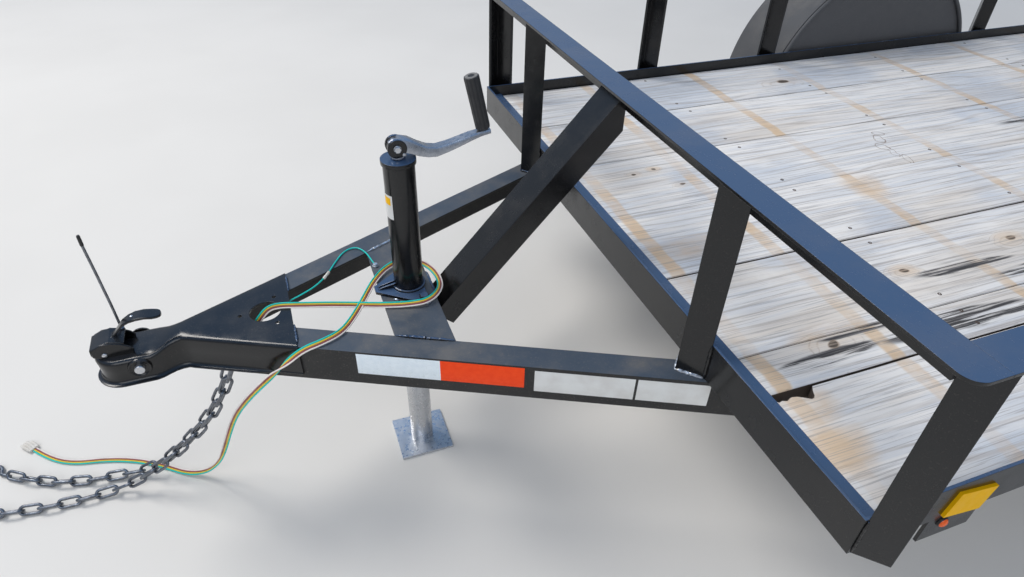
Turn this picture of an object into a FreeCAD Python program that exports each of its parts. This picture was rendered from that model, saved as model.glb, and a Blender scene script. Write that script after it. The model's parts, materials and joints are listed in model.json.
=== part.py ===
"""Single-axle utility trailer, five feet by eight, with rails on three sides and a ramp gate.

Sizes are in millimetres. While it is built, x runs forwards from the front face of the
frame, y to the left from the middle, and z up from the ground. The finished pieces are
moved along x so that the origin is on the ground under the middle of the trailer.
"""
import FreeCAD, Part
import math
import os

INCH = 25.4

# Bars and plates that the trailer is welded from
STEEL = 4.8
FRAME_LEG = 3 * INCH
FRAME_FLANGE = 2 * INCH
POST_LEG = 2 * INCH
RAIL_LEG = 2 * INCH
SHEET = 2.0

# Frame
FRAME_WIDTH = 1524.0
FRAME_LENGTH = 2438.4
FRAME_TOP = 530.0
CROSS_LEG = 3 * INCH
CROSS_FLANGE = 2 * INCH
INNER_CROSS_MEMBER_X = (-520.0, -1003.0, -1397.0, -1850.0)
REAR_CROSS_INSET = 60.4
REAR_LIP = 2 * INCH

# Deck
BOARD_THICKNESS = 1.5 * INCH
BOARD_GAP = 3.0
BOARD_END_GAP = 1.0
BOARD_SEAM_Y = (-515.0, -274.0, -39.0, 196.0, 431.0, 520.0)
RETAINER_WIDTH = 1.5 * INCH
RETAINER_THICKNESS = 3.2

# Posts and top rail
RAIL_RISE = 12 * INCH
RAIL_CORNER = 22.0
FRONT_POST_Y = 380.0
CORNER_POST_INSET = 42.0
INNER_POST_X = (-533.0, -983.0, -1939.0)

# Tongue
TONGUE_HALF_WIDTH = 425.7
TONGUE_SLOPE = 0.482
TONGUE_LEG = 3 * INCH
TONGUE_FLANGE = 2 * INCH
TONGUE_FRONT_X = 800.0
PLATE_BACK_X = 376.0
PLATE_WIDTH = 4 * INCH
PLATE_LEG = 3 * INCH
BRACE_WIDTH = 3 * INCH
BRACE_LEG = 2 * INCH
BRACE_TOP_DROP = 14.8
BRACE_SLOPE = 1.116
BRACE_SEAT = 2.0

# Coupler
COUPLER_STEEL = 4.8
COUPLER_BACK_X = 647.0
BALL_X = 946.0
BALL_RADIUS = 1 * INCH
NOSE_RADIUS = 42.0
NOSE_BACK_X = 868.0
COUPLER_DEPTH = 64.0
COUPLER_LIP = 9.0
WAIST_X = 843.0
NOSE_DROP = 16.0
COUPLER_HOLE_X = 693.0
COUPLER_HOLE_RADIUS = 28.5
PIVOT_X = 915.0
PIVOT_DROP = 36.0
PIVOT_RADIUS = 6.3
PIVOT_HEAD_RADIUS = 12.0
PIVOT_HEAD = 9.0
LATCH_WIDTH = 44.0
LATCH_STEEL = 5.0
ROD_RADIUS = 2.2
ROD_TIP_RADIUS = 3.6
ROD_HEIGHT = 172.0
ROD_TIP_LENGTH = 30.0
ROD_X = 935.0
ROD_Y = -17.0

# Safety chains
CHAIN_BOLT_X = 770.0
CHAIN_BOLT_DROP = 64.0
CHAIN_BOLT_RADIUS = 4.8
CHAIN_WIRE = 6.6
CHAIN_INNER = 36.0
CHAIN_WIDTH = 24.0
CHAIN_OVERLAP = 0.9
CHAIN_MIDDLE_Y = 20.0
CHAIN_TWIST = 45.0
CHAIN_TWIST_LINKS = 8
HOOK_STEEL = 9.0
HOOK_RADIUS = 22.0
HOOK_OPENING = 12.0
HOOK_SHANK = 20.0
FLOOR_GAP = 0.2

# Where each chain goes after its bolt, as (x, y, z)
CHAIN_ROUTES = (
    ((770.0, 20.0, 368.0), (790.0, 15.0, 322.0), (814.0, 9.0, 272.0), (847.0, 1.0, 217.0),
     (905.0, -13.0, 150.0), (963.0, -27.0, 93.0), (1032.0, -44.0, 38.0), (1094.0, -56.0, 13.0),
     (1164.0, -55.0, 11.4), (1227.0, -59.0, 11.4), (1301.0, -70.0, 11.4), (1345.0, -80.0, 11.4)),
    ((770.0, -20.0, 368.0), (792.0, -26.0, 308.0), (822.0, -34.0, 242.0), (860.0, -43.0, 180.0),
     (915.0, -57.0, 113.0), (972.0, -71.0, 56.0), (1030.0, -86.0, 19.0), (1084.0, -98.0, 11.4),
     (1145.0, -104.0, 11.4), (1211.0, -122.0, 11.4), (1265.0, -148.0, 11.4), (1318.0, -182.0, 11.4)))

# Wiring: flat four-wire cable and the ground wire, with their routes as (x, y, z)
CABLE_RADIUS = 4.0
GROUND_WIRE_RADIUS = 1.5
PLUG_LENGTH = 34.0
PLUG_WIDTH = 24.0
PLUG_HEIGHT = 12.0
GROUND_SCREW_RADIUS = 6.0
GROUND_SCREW_HEIGHT = 5.0
CABLE_ROUTE = (
    (716.0, 3.0, 432.0), (702.0, -1.0, 448.0), (686.0, -5.0, 461.0), (664.0, -3.0, 463.6),
    (630.0, 7.0, 463.0), (580.0, 20.0, 461.5), (530.0, 36.0, 460.5), (482.0, 53.0, 460.0),
    (437.0, 67.0, 461.5), (396.0, 74.0, 465.0), (364.0, 46.0, 467.0), (358.0, 2.0, 466.0),
    (370.0, -42.0, 466.5), (403.0, -77.0, 465.5), (448.0, -66.0, 462.0), (484.0, -26.0, 460.5),
    (510.0, 22.0, 461.0), (538.0, 70.0, 461.5), (566.0, 106.0, 460.8), (604.0, 123.0, 461.2),
    (640.0, 128.0, 457.5), (674.0, 129.0, 434.0), (712.0, 122.0, 398.0), (752.0, 100.0, 345.0),
    (786.0, 70.0, 282.0), (812.0, 42.0, 212.0), (836.0, 14.0, 138.0), (862.0, -14.0, 66.0),
    (898.0, -38.0, 18.0), (944.0, -60.0, 4.2), (992.0, -98.0, 4.8), (1052.0, -136.0, 4.2),
    (1118.0, -160.0, 4.6), (1184.0, -172.0, 4.8), (1236.0, -204.0, 4.2), (1272.0, -244.0, 4.2))
GROUND_WIRE_ROUTE = (
    (668.0, -22.0, 446.0), (650.0, -30.0, 448.0), (622.0, -42.0, 450.0), (592.0, -58.0, 452.5),
    (566.0, -84.0, 456.0), (546.0, -120.0, 456.4), (522.0, -156.0, 456.0), (496.0, -164.0, 456.6),
    (480.0, -140.0, 456.8), (474.0, -112.0, 456.4), (470.0, -90.0, 455.8))


# Jack
JACK_X = 418.0
JACK_TUBE_RADIUS = 28.6
JACK_TUBE_WALL = 3.0
JACK_TUBE_BOTTOM = 290.0
JACK_TUBE_TOP = 725.0
JACK_CAP_RADIUS = 31.5
JACK_CAP_HEIGHT = 9.0
JACK_HOLE_CLEARANCE = 1.0
JACK_LEG_CLEARANCE = 0.3
JACK_LEG_WALL = 3.0
JACK_LEG_OVERLAP = 90.0
FOOT_SIDE = 120.0
FOOT_THICKNESS = 6.0
FLANGE_THICKNESS = 6.0
FLANGE_FRONT = 68.0
FLANGE_BACK = 26.0
FLANGE_HALF_WIDTH = 66.0
FLANGE_CORNER = 9.0
FLANGE_BOLT_RADIUS = 5.5

# Jack crank
SCREW_RADIUS = 9.0
CRANK_GAP = 0.3
SCREW_CLEARANCE = 0.08
SCREW_STUB = 14.0
CRANK_NECK_RADIUS = 14.0
CRANK_HUB_RADIUS = 17.0
CRANK_HUB_RISE = 22.0
CRANK_WIDTH = 22.0
CRANK_PLATE = 5.0
CRANK_BEND_REACH = 62.0
CRANK_REACH = 142.0
CRANK_ARM_HEIGHT = 22.0
CRANK_TIP_HEIGHT = 10.0
CRANK_BEND_RISE = 10.0
CRANK_TIP_RISE = 30.0
GRIP_RADIUS = 14.0
GRIP_LENGTH = 104.0

# Axle, springs and wheels
AXLE_X = -1463.0
TYRE_RADIUS = 343.0
TYRE_WIDTH = 205.0
TYRE_SHOULDER = 22.0
TYRE_WALL = 9.0
TYRE_CROWN = 15.0
TYRE_SIDES = 32
AXLE_RADIUS = 30.2
AXLE_WALL = 5.0
SPINDLE_RADIUS = 17.5
SPINDLE_CLEARANCE = 0.05
HUB_GAP = 8.0
HUB_RADIUS = 36.0
HUB_LENGTH = 92.0
HUB_FLANGE_RADIUS = 70.0
HUB_FLANGE_THICKNESS = 10.0
GREASE_CAP_RADIUS = 27.0
GREASE_CAP_LENGTH = 30.0
STUD_CIRCLE_RADIUS = 57.15
STUD_RADIUS = 6.35
STUD_LENGTH = 26.0
NUT_ACROSS = 19.0
NUT_HEIGHT = 16.0
LUG_COUNT = 5
RIM_RADIUS = 190.5
RIM_LIP = 17.0
RIM_WIDTH = 152.0
RIM_STEEL = 4.0
RIM_WELL = 26.0
DISC_STEEL = 5.0
DISC_BORE_RADIUS = 42.0
DISC_DISH = 22.0
WINDOW_COUNT = 8
WINDOW_INNER_RADIUS = 98.0
WINDOW_OUTER_RADIUS = 142.0
WINDOW_HALF_ANGLE = 14.0

SPRING_WIDTH = 44.5
SPRING_LEAF = 6.35
SPRING_HALF_LENGTH = 317.5
SPRING_CAMBER = 34.0
SPRING_LEAF_SHARES = (1.0, 0.72, 0.42)
SPRING_SEAT = 5.0
HANGER_STEEL = 6.0
HANGER_WIDTH = 76.0
HANGER_CLEARANCE = 1.0
HANGER_BOLT_RADIUS = 7.0
CLAMP_ROD_RADIUS = 5.5
CLAMP_PLATE = 8.0
CLAMP_THREAD = 18.0

# Fenders
FENDER_RADIUS = 440.0
FENDER_WIDTH = 9 * INCH
FENDER_BEAD = 0.5 * INCH
FENDER_LIP = 22.0
FENDER_END_ANGLE = 6.0

# Ramp gate
GATE_GAP = 6.0
GATE_HEIGHT = 1219.2
GATE_SIDE_GAP = 7.0
GATE_LEG = 1.5 * INCH
GATE_STEEL = 3.2
GATE_MESH = 2.6
GATE_STRAND = 5.0
GATE_MESH_PITCH = 76.0
GATE_MESH_SLOPE = 0.5
GATE_UPRIGHTS = 3
GATE_BARREL_RADIUS = 12.7
GATE_PIN_RADIUS = 7.9
GATE_PIN_CLEARANCE = 0.3
GATE_BARREL_LENGTH = 60.0
GATE_BARREL_GAP = 1.0
GATE_HINGE_BACK = 46.0
GATE_HINGE_DROP = 42.0
GATE_HINGE_Y = 560.0
GATE_LUG = 8.0
GATE_BOTTOM_GAP = 3.0
GATE_STRAP = 6.0

# Lamps, reflectors and number plate holder
MARKER_X = -176.0
MARKER_DROP = 89.0
MARKER_RADIUS = 9.5
MARKER_LENS = 13.0
MARKER_PLATE_FRONT_X = -145.0
MARKER_PLATE_BACK_X = -244.0
MARKER_PLATE_DROP = 49.0
REFLECTOR_X = -204.0
REFLECTOR_DROP = 49.0
REFLECTOR_LENGTH = 3 * INCH
REFLECTOR_HEIGHT = 2 * INCH
REFLECTOR_THICKNESS = 5.0
REFLECTOR_TILT = 10.0
LAMP_PLATE = 5.0
LAMP_PLATE_WIDTH = 118.0
LAMP_PLATE_HEIGHT = 100.0
LAMP_WIDTH = 102.0
LAMP_HEIGHT = 84.0
LAMP_DEPTH = 40.0
LAMP_LENS = 12.0
LAMP_MARGIN = 6.0
NUMBER_PLATE_WIDTH = 12 * INCH
NUMBER_PLATE_HEIGHT = 6 * INCH
NUMBER_PLATE_INSET = 222.0
NUMBER_PLATE_OVERLAP = 8.0
NUMBER_PLATE_HOLES_ACROSS = 7 * INCH
NUMBER_PLATE_HOLES_UP = 4.75 * INCH
NUMBER_PLATE_HOLE_RADIUS = 3.5

# Heights and places worked out from the sizes above
FRAME_HALF = FRAME_WIDTH / 2
FRAME_BOTTOM = FRAME_TOP - FRAME_LEG
SHELF_TOP = FRAME_BOTTOM + STEEL
BOARD_BOTTOM = SHELF_TOP + STEEL
DECK_TOP = BOARD_BOTTOM + BOARD_THICKNESS
INNER_HALF = FRAME_HALF - STEEL
RAIL_TOP = FRAME_TOP + RAIL_RISE
RAIL_UNDERSIDE = RAIL_TOP - STEEL
TONGUE_TOP = FRAME_BOTTOM
TONGUE_STRETCH = math.sqrt(1 + TONGUE_SLOPE ** 2)
COUPLER_TOP = TONGUE_TOP + COUPLER_STEEL
COUPLER_BOTTOM = COUPLER_TOP - COUPLER_STEEL - COUPLER_DEPTH
NOSE_TOP = COUPLER_TOP - NOSE_DROP
NOSE_FRONT_X = BALL_X + NOSE_RADIUS
BALL_Z = NOSE_TOP - COUPLER_STEEL - BALL_RADIUS
AXLE_Z = TYRE_RADIUS
FENDER_INNER_Y = FRAME_HALF + FENDER_BEAD
WHEEL_Y = FENDER_INNER_Y + FENDER_WIDTH / 2
HUB_INNER_Y = WHEEL_Y - HUB_LENGTH + HUB_FLANGE_THICKNESS
AXLE_HALF = HUB_INNER_Y - HUB_GAP
SPRING_Y = FRAME_HALF - FRAME_FLANGE / 2
SPRING_BOTTOM = AXLE_Z + AXLE_RADIUS + SPRING_SEAT
SPRING_TOP = SPRING_BOTTOM + len(SPRING_LEAF_SHARES) * SPRING_LEAF
SPRING_BEND = (SPRING_HALF_LENGTH ** 2 + SPRING_CAMBER ** 2) / (2 * SPRING_CAMBER)
CRANK_BASE = JACK_TUBE_TOP + JACK_CAP_HEIGHT + CRANK_GAP
REAR_X = -FRAME_LENGTH
CROSS_MEMBER_X = INNER_CROSS_MEMBER_X + (REAR_X + REAR_CROSS_INSET,)
SIDE_POST_X = (-CORNER_POST_INSET,) + INNER_POST_X + (REAR_X + CORNER_POST_INSET,)
NUMBER_PLATE_Y = FRAME_HALF - NUMBER_PLATE_INSET
GATE_FRONT_X = REAR_X - GATE_GAP
GATE_BACK_X = GATE_FRONT_X - GATE_MESH - GATE_LEG
GATE_HINGE_X = REAR_X - GATE_HINGE_BACK
GATE_HINGE_Z = DECK_TOP - GATE_HINGE_DROP
GATE_BOTTOM = GATE_HINGE_Z + GATE_BARREL_RADIUS + GATE_BOTTOM_GAP
GATE_TOP = GATE_BOTTOM + GATE_HEIGHT
GATE_HALF = FRAME_HALF - GATE_SIDE_GAP
TRAILER_BACK_X = GATE_HINGE_X - GATE_BARREL_RADIUS
LAMP_X = REAR_X + LAMP_PLATE
LAMP_TOP = DECK_TOP + STEEL - LAMP_MARGIN
LAMP_OUTER_Y = FRAME_HALF + LAMP_PLATE_WIDTH - LAMP_MARGIN
CHAIN_PITCH = CHAIN_INNER + CHAIN_OVERLAP
TYRE_STRETCH = 1 / math.cos(math.pi / TYRE_SIDES)

X_AXIS = FreeCAD.Vector(1, 0, 0)
Y_AXIS = FreeCAD.Vector(0, 1, 0)
Z_AXIS = FreeCAD.Vector(0, 0, 1)
CENTRE = FreeCAD.Vector(0, 0, 0)


def point(x, y, z):
    return FreeCAD.Vector(x, y, z)


def box(x_low, x_high, y_low, y_high, z_low, z_high):
    size = (x_high - x_low, y_high - y_low, z_high - z_low)
    return Part.makeBox(*size, point(x_low, y_low, z_low))


def rod(start, direction, length, radius):
    return Part.makeCylinder(radius, length, start, direction)


def pipe(start, direction, length, outer, inner):
    return rod(start, direction, length, outer).cut(rod(start, direction, length, inner))


def prism(corners, push):
    return Part.Face(Part.makePolygon(corners + corners[:1])).extrude(push)


def plan_plate(corners, z_low, z_high):
    """A flat plate from its outline seen from above, as (x, y) corners."""
    return prism([point(x, y, z_low) for x, y in corners], Z_AXIS * (z_high - z_low))


def side_plate(corners, y_low, y_high):
    """A flat plate from its outline seen from the side, as (x, z) corners."""
    return prism([point(x, y_low, z) for x, z in corners], Y_AXIS * (y_high - y_low))


def end_plate(corners, x_low, x_high):
    """A flat plate from its outline seen from the end, as (y, z) corners."""
    return prism([point(x_low, y, z) for y, z in corners], X_AXIS * (x_high - x_low))


def joined(shapes):
    return shapes[0].multiFuse(shapes[1:]).removeSplitter()


def mirrored(shape):
    return shape.mirror(CENTRE, Y_AXIS)


def turned(shape, centre, axis, degrees):
    copy = shape.copy()
    copy.rotate(centre, axis, degrees)
    return copy


def save(node, shapes):
    shape = shapes[0] if len(shapes) == 1 else Part.makeCompound(shapes)
    shape = shape.copy()
    shape.translate(point(-ORIGIN_X, 0, 0))
    shape.exportStep("parts/" + node + ".step")


def save_pair(name, left):
    save(name + "_left", [left])
    save(name + "_right", [mirrored(left)])


def tongue_face_y(x, inwards=0.0):
    """Half the width over the tongue at x, less a distance measured square to the bar."""
    return TONGUE_HALF_WIDTH - TONGUE_SLOPE * x - inwards * TONGUE_STRETCH


# Frame

def front_member():
    upright = box(-STEEL, 0, -FRAME_HALF, FRAME_HALF, FRAME_BOTTOM, FRAME_TOP)
    shelf = box(-FRAME_FLANGE, -STEEL, -FRAME_HALF, FRAME_HALF, FRAME_BOTTOM, SHELF_TOP)
    return joined([upright, shelf])


def side_rail():
    back = REAR_X + STEEL
    upright = box(back, -STEEL, INNER_HALF, FRAME_HALF, FRAME_BOTTOM, FRAME_TOP)
    shelf_inner = FRAME_HALF - FRAME_FLANGE
    shelf = box(back, -FRAME_FLANGE, shelf_inner, FRAME_HALF, FRAME_BOTTOM, SHELF_TOP)
    return joined([upright, shelf]).cut(front_member())


def rear_member():
    top = DECK_TOP + STEEL
    upright = box(REAR_X, REAR_X + STEEL, -FRAME_HALF, FRAME_HALF, top - FRAME_LEG, top)
    lip = box(REAR_X, REAR_X + REAR_LIP, -INNER_HALF, INNER_HALF, DECK_TOP, top)
    return joined([upright, lip])


def cross_members():
    members = []
    leg_half = FRAME_HALF - FRAME_FLANGE
    for x in CROSS_MEMBER_X:
        flange = box(x - CROSS_FLANGE, x, -INNER_HALF, INNER_HALF, SHELF_TOP, BOARD_BOTTOM)
        leg = box(x - STEEL, x, -leg_half, leg_half, BOARD_BOTTOM - CROSS_LEG, BOARD_BOTTOM)
        members.append(joined([flange, leg]))
    members.append(box(-FRAME_FLANGE, -STEEL, -INNER_HALF, INNER_HALF, SHELF_TOP, BOARD_BOTTOM))
    return members


def deck_boards():
    boards = []
    edges = (-INNER_HALF,) + BOARD_SEAM_Y + (INNER_HALF,)
    back = REAR_X + STEEL + BOARD_END_GAP
    front = -STEEL - BOARD_END_GAP
    for low, high in zip(edges, edges[1:]):
        sides = (low + BOARD_GAP / 2, high - BOARD_GAP / 2)
        boards.append(box(back, front, *sides, BOARD_BOTTOM, DECK_TOP))
    return boards


def board_retainer():
    back = -STEEL - RETAINER_WIDTH
    return box(back, -STEEL, -INNER_HALF, INNER_HALF, DECK_TOP, DECK_TOP + RETAINER_THICKNESS)


# Posts and top rail

def post():
    """An angle bar on edge, its two leg tips against a face at y = 0 and its heel outside."""
    heel = POST_LEG / math.sqrt(2)
    wall = STEEL * math.sqrt(2)
    outer = [(heel, 0), (0, heel), (-heel, 0)]
    inner = [(wall - heel, 0), (0, heel - wall), (heel - wall, 0)]
    return plan_plate(outer + inner, FRAME_BOTTOM, RAIL_UNDERSIDE)


def front_posts():
    bar = turned(post(), CENTRE, Z_AXIS, -90)
    bar.translate(point(0, FRONT_POST_Y, 0))
    return [bar, mirrored(bar)]


def side_posts():
    posts = []
    for x in SIDE_POST_X:
        bar = post()
        bar.translate(point(x, FRAME_HALF, 0))
        posts.append(bar)
    return posts


def front_top_rail():
    front = RAIL_LEG - STEEL
    half = INNER_HALF + RAIL_LEG
    flange = box(-STEEL, front, -half, half, RAIL_UNDERSIDE, RAIL_TOP)
    corners = [edge for edge in flange.Edges if is_front_corner(edge, front)]
    flange = flange.makeFillet(RAIL_CORNER, corners)
    leg = box(-STEEL, 0, -FRAME_HALF, FRAME_HALF, RAIL_TOP - RAIL_LEG, RAIL_TOP)
    return joined([flange, leg])


def is_front_corner(edge, front):
    ends = edge.Vertexes
    return abs(ends[0].Z - ends[1].Z) > 1 and abs(ends[0].X - front) < 0.1


def side_top_rail():
    outer = INNER_HALF + RAIL_LEG
    flange = box(REAR_X, -STEEL, INNER_HALF, outer, RAIL_UNDERSIDE, RAIL_TOP)
    leg = box(REAR_X, -STEEL, INNER_HALF, FRAME_HALF, RAIL_TOP - RAIL_LEG, RAIL_TOP)
    return joined([flange, leg])


# Tongue

def tongue_strip(back, front, outer, inner):
    """Plan corners of a strip along the tongue, between two distances in from its outer face."""
    return [(back, tongue_face_y(back, outer)), (front, tongue_face_y(front, outer)),
            (front, tongue_face_y(front, inner)), (back, tongue_face_y(back, inner))]


def tongue_rail():
    back = CROSS_MEMBER_X[0]
    upright = tongue_strip(back, TONGUE_FRONT_X, 0, STEEL)
    flange = tongue_strip(back, TONGUE_FRONT_X, 0, TONGUE_FLANGE)
    bar = joined([plan_plate(upright, TONGUE_TOP - TONGUE_LEG, TONGUE_TOP),
                  plan_plate(flange, TONGUE_TOP - STEEL, TONGUE_TOP)])
    past_middle = box(back, TONGUE_FRONT_X, -TONGUE_HALF_WIDTH, 0, 0, FRAME_TOP)
    return bar.cut(past_middle)


def cross_plate():
    front = PLATE_BACK_X + PLATE_WIDTH
    leg_front = PLATE_BACK_X + STEEL
    corners = [(x, side * tongue_face_y(x, TONGUE_FLANGE))
               for x, side in ((PLATE_BACK_X, -1), (front, -1), (front, 1), (PLATE_BACK_X, 1))]
    top = plan_plate(corners, TONGUE_TOP - STEEL, TONGUE_TOP)
    half = tongue_face_y(leg_front, TONGUE_FLANGE)
    leg = box(PLATE_BACK_X, leg_front, -half, half, TONGUE_TOP - PLATE_LEG, TONGUE_TOP)
    hole = rod(point(JACK_X, 0, 0), Z_AXIS, FRAME_TOP, JACK_TUBE_RADIUS + JACK_HOLE_CLEARANCE)
    plate = joined([top, leg]).cut(hole)
    for x, y in flange_bolt_places():
        plate = plate.cut(rod(point(x, y, 0), Z_AXIS, FRAME_TOP, FLANGE_BOLT_RADIUS))
    return plate


def brace():
    """The bar from under the top rail down to the cross plate, wide leg up, flange to the left."""
    top_z = RAIL_UNDERSIDE - BRACE_TOP_DROP + STEEL
    slant = math.sqrt(1 + BRACE_SLOPE ** 2)
    half = BRACE_WIDTH / 2

    def strip(depth):
        drop = depth * slant
        far = PLATE_BACK_X + BRACE_SEAT
        run = depth * BRACE_SLOPE / slant
        foot_z = top_z - BRACE_SLOPE * far
        return [(0, top_z), (far, foot_z), (far - run, foot_z - depth / slant), (0, top_z - drop)]

    wide = side_plate(strip(STEEL), -half, half)
    flange = side_plate(strip(BRACE_LEG), half - STEEL, half)
    seat = box(PLATE_BACK_X, PLATE_BACK_X + FRAME_LEG, -half, half, 0, FRAME_TOP)
    return joined([wide, flange]).cut(seat)


# Coupler

def coupler_outline(inwards, grow):
    """Plan outline of the coupler, drawn in from the tongue's outer face or out by a lip."""
    back_y = tongue_face_y(COUPLER_BACK_X) + (COUPLER_STEEL - inwards) * TONGUE_STRETCH + grow
    waist_y = tongue_face_y(WAIST_X) + (COUPLER_STEEL - inwards) * TONGUE_STRETCH + grow
    return [(COUPLER_BACK_X, -back_y), (WAIST_X, -waist_y), (WAIST_X, waist_y), (COUPLER_BACK_X, back_y)]


def nose_solid(inset, grow, low, high):
    radius = NOSE_RADIUS - inset + grow
    body = box(NOSE_BACK_X - grow, BALL_X, -radius, radius, low, high)
    return body.fuse(rod(point(BALL_X, 0, low), Z_AXIS, high - low, radius))


def neck_solid(inset, grow, low, high):
    """The part between the A-shaped plate and the nose, as wide at the back as the tongue."""
    radius = NOSE_RADIUS - inset + grow
    neck_x = (TONGUE_HALF_WIDTH + COUPLER_STEEL * TONGUE_STRETCH - NOSE_RADIUS) / TONGUE_SLOPE
    corners = [(neck_x, -radius), (NOSE_BACK_X, -radius), (NOSE_BACK_X, radius), (neck_x, radius)]
    return plan_plate(corners, low, high)


def coupler_shell(inset, grow, low, top, nose_top):
    back = plan_plate(coupler_outline(inset, grow), low, top)
    neck = neck_solid(inset, grow, low, nose_top)
    return joined([back, neck, nose_solid(inset, grow, low, nose_top)])


def coupler_body():
    outer = coupler_shell(0, 0, COUPLER_BOTTOM, COUPLER_TOP, NOSE_TOP)
    lip = coupler_shell(0, COUPLER_LIP, COUPLER_BOTTOM, COUPLER_BOTTOM + COUPLER_STEEL,
                        COUPLER_BOTTOM + COUPLER_STEEL)
    lip = lip.cut(box(0, CHAIN_BOLT_X - FRAME_LEG, -FRAME_HALF, FRAME_HALF, 0, FRAME_TOP))
    hollow = coupler_shell(COUPLER_STEEL, 0, COUPLER_BOTTOM, TONGUE_TOP, NOSE_TOP - COUPLER_STEEL)
    shell = joined([outer, lip]).cut(hollow)
    hole = rod(point(COUPLER_HOLE_X, 0, 0), Z_AXIS, FRAME_TOP, COUPLER_HOLE_RADIUS)
    pivot = rod(point(PIVOT_X, -FRAME_HALF, COUPLER_TOP - PIVOT_DROP), Y_AXIS, FRAME_WIDTH, PIVOT_RADIUS)
    return shell.cut(hole).cut(pivot)


def coupler_latch():
    """The ball clamp's pivot bolt, the latch box on the nose and the finger lever."""
    pivot_z = COUPLER_TOP - PIVOT_DROP
    pivot = rod(point(PIVOT_X, -NOSE_RADIUS, pivot_z), Y_AXIS, 2 * NOSE_RADIUS, PIVOT_RADIUS)
    heads = [rod(point(PIVOT_X, y, pivot_z), Y_AXIS, PIVOT_HEAD, PIVOT_HEAD_RADIUS)
             for y in (NOSE_RADIUS, -NOSE_RADIUS - PIVOT_HEAD)]
    width = LATCH_WIDTH / 2
    cap = box(BALL_X - NOSE_RADIUS, NOSE_FRONT_X, -width, width, NOSE_TOP, NOSE_TOP + 5 * LATCH_STEEL)
    rise = NOSE_TOP + 5 * LATCH_STEEL
    lever = side_plate([(BALL_X - 8, rise), (BALL_X - 26, rise + 14), (BALL_X - 66, rise + 22),
                        (BALL_X - 66, rise + 17), (BALL_X - 30, rise + 9), (BALL_X - 22, rise)],
                       -width / 2, width / 2)
    return [joined([pivot] + heads), joined([cap, lever, latch_rod()])]


def latch_rod():
    base = point(ROD_X, ROD_Y, NOSE_TOP + 5 * LATCH_STEEL)
    stem = rod(base, Z_AXIS, ROD_HEIGHT, ROD_RADIUS)
    tip = rod(base + Z_AXIS * ROD_HEIGHT, Z_AXIS, ROD_TIP_LENGTH, ROD_TIP_RADIUS)
    return joined([stem, tip])


def chain_bolt():
    z = TONGUE_TOP - CHAIN_BOLT_DROP
    inner = tongue_face_y(CHAIN_BOLT_X + CHAIN_BOLT_RADIUS, STEEL)
    return rod(point(CHAIN_BOLT_X, -inner, z), Y_AXIS, 2 * inner, CHAIN_BOLT_RADIUS)


def chain_start(side):
    """Where the first link lies on its bolt."""
    top = TONGUE_TOP - CHAIN_BOLT_DROP + CHAIN_BOLT_RADIUS
    return point(CHAIN_BOLT_X, side * CHAIN_MIDDLE_Y, top - CHAIN_OVERLAP / 2)


def joints_along(route):
    """Points one pitch apart along a route of straight runs."""
    joints = [route[0]]
    left = CHAIN_PITCH
    for start, end in zip(route, route[1:]):
        run = end - start
        done = left
        while done <= run.Length:
            joints.append(start + run * (done / run.Length))
            done += CHAIN_PITCH
        left = done - run.Length
    return joints


def link(start, end, roll):
    """One link as a flat six-sided ring, turned about its length by the roll angle."""
    inner = CHAIN_INNER / 2
    outer = inner + CHAIN_WIRE
    half = CHAIN_WIDTH / 2
    hole = half - CHAIN_WIRE
    tip = hole + CHAIN_WIRE / 2
    low = -CHAIN_WIRE / 2
    corners = [(outer, -tip), (outer, tip), (0, half), (-outer, tip), (-outer, -tip), (0, -half)]
    shape = plan_plate(corners, low, -low).cut(box(-inner, inner, -hole, hole, low, -low))
    shape.rotate(CENTRE, X_AXIS, roll)
    shape.Placement = FreeCAD.Placement(CENTRE, FreeCAD.Rotation(X_AXIS, end - start)).multiply(shape.Placement)
    shape.translate((start + end) / 2)
    return shape


def hook(place, direction):
    """The slip hook that lies flat at the end of a chain."""
    half = HOOK_STEEL / 2
    reach = HOOK_SHANK + HOOK_RADIUS
    bow = [point(reach + HOOK_RADIUS * math.cos(math.radians(a)), HOOK_RADIUS * math.sin(math.radians(a)),
                 -half) for a in range(0, 360, 45)]
    throat = [point(reach + HOOK_OPENING * math.cos(math.radians(a)),
                    HOOK_OPENING * math.sin(math.radians(a)), -half) for a in range(0, 360, 45)]
    steel = prism(bow, Z_AXIS * HOOK_STEEL).cut(prism(throat, Z_AXIS * HOOK_STEEL))
    mouth = box(HOOK_SHANK, reach, HOOK_OPENING / 2, HOOK_RADIUS + 1, -half, half)
    shank = box(0, reach - HOOK_OPENING, -half, half, -half, half)
    shape = joined([steel.cut(mouth), shank])
    shape.Placement = FreeCAD.Placement(CENTRE, FreeCAD.Rotation(X_AXIS, direction))
    shape.translate(point(place.x, place.y, half + FLOOR_GAP))
    return shape


def safety_chain(side, route):
    joints = joints_along([chain_start(side)] + [point(*place) for place in route])
    links = []
    for number, (start, end) in enumerate(zip(joints, joints[1:])):
        twist = CHAIN_TWIST * min(1, number / CHAIN_TWIST_LINKS)
        links.append(link(start, end, 90 * (number + 1) + twist))
    last = joints[-1] - joints[-2]
    last.z = 0
    return links + [hook(joints[-1], last)]


def safety_chains():
    """Both chains as one piece with the bolt through the tongue that carries them."""
    pieces = [chain_bolt()]
    for side, route in zip((1, -1), CHAIN_ROUTES):
        pieces += safety_chain(side, route)
    return joined(pieces)


# Wiring

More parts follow.
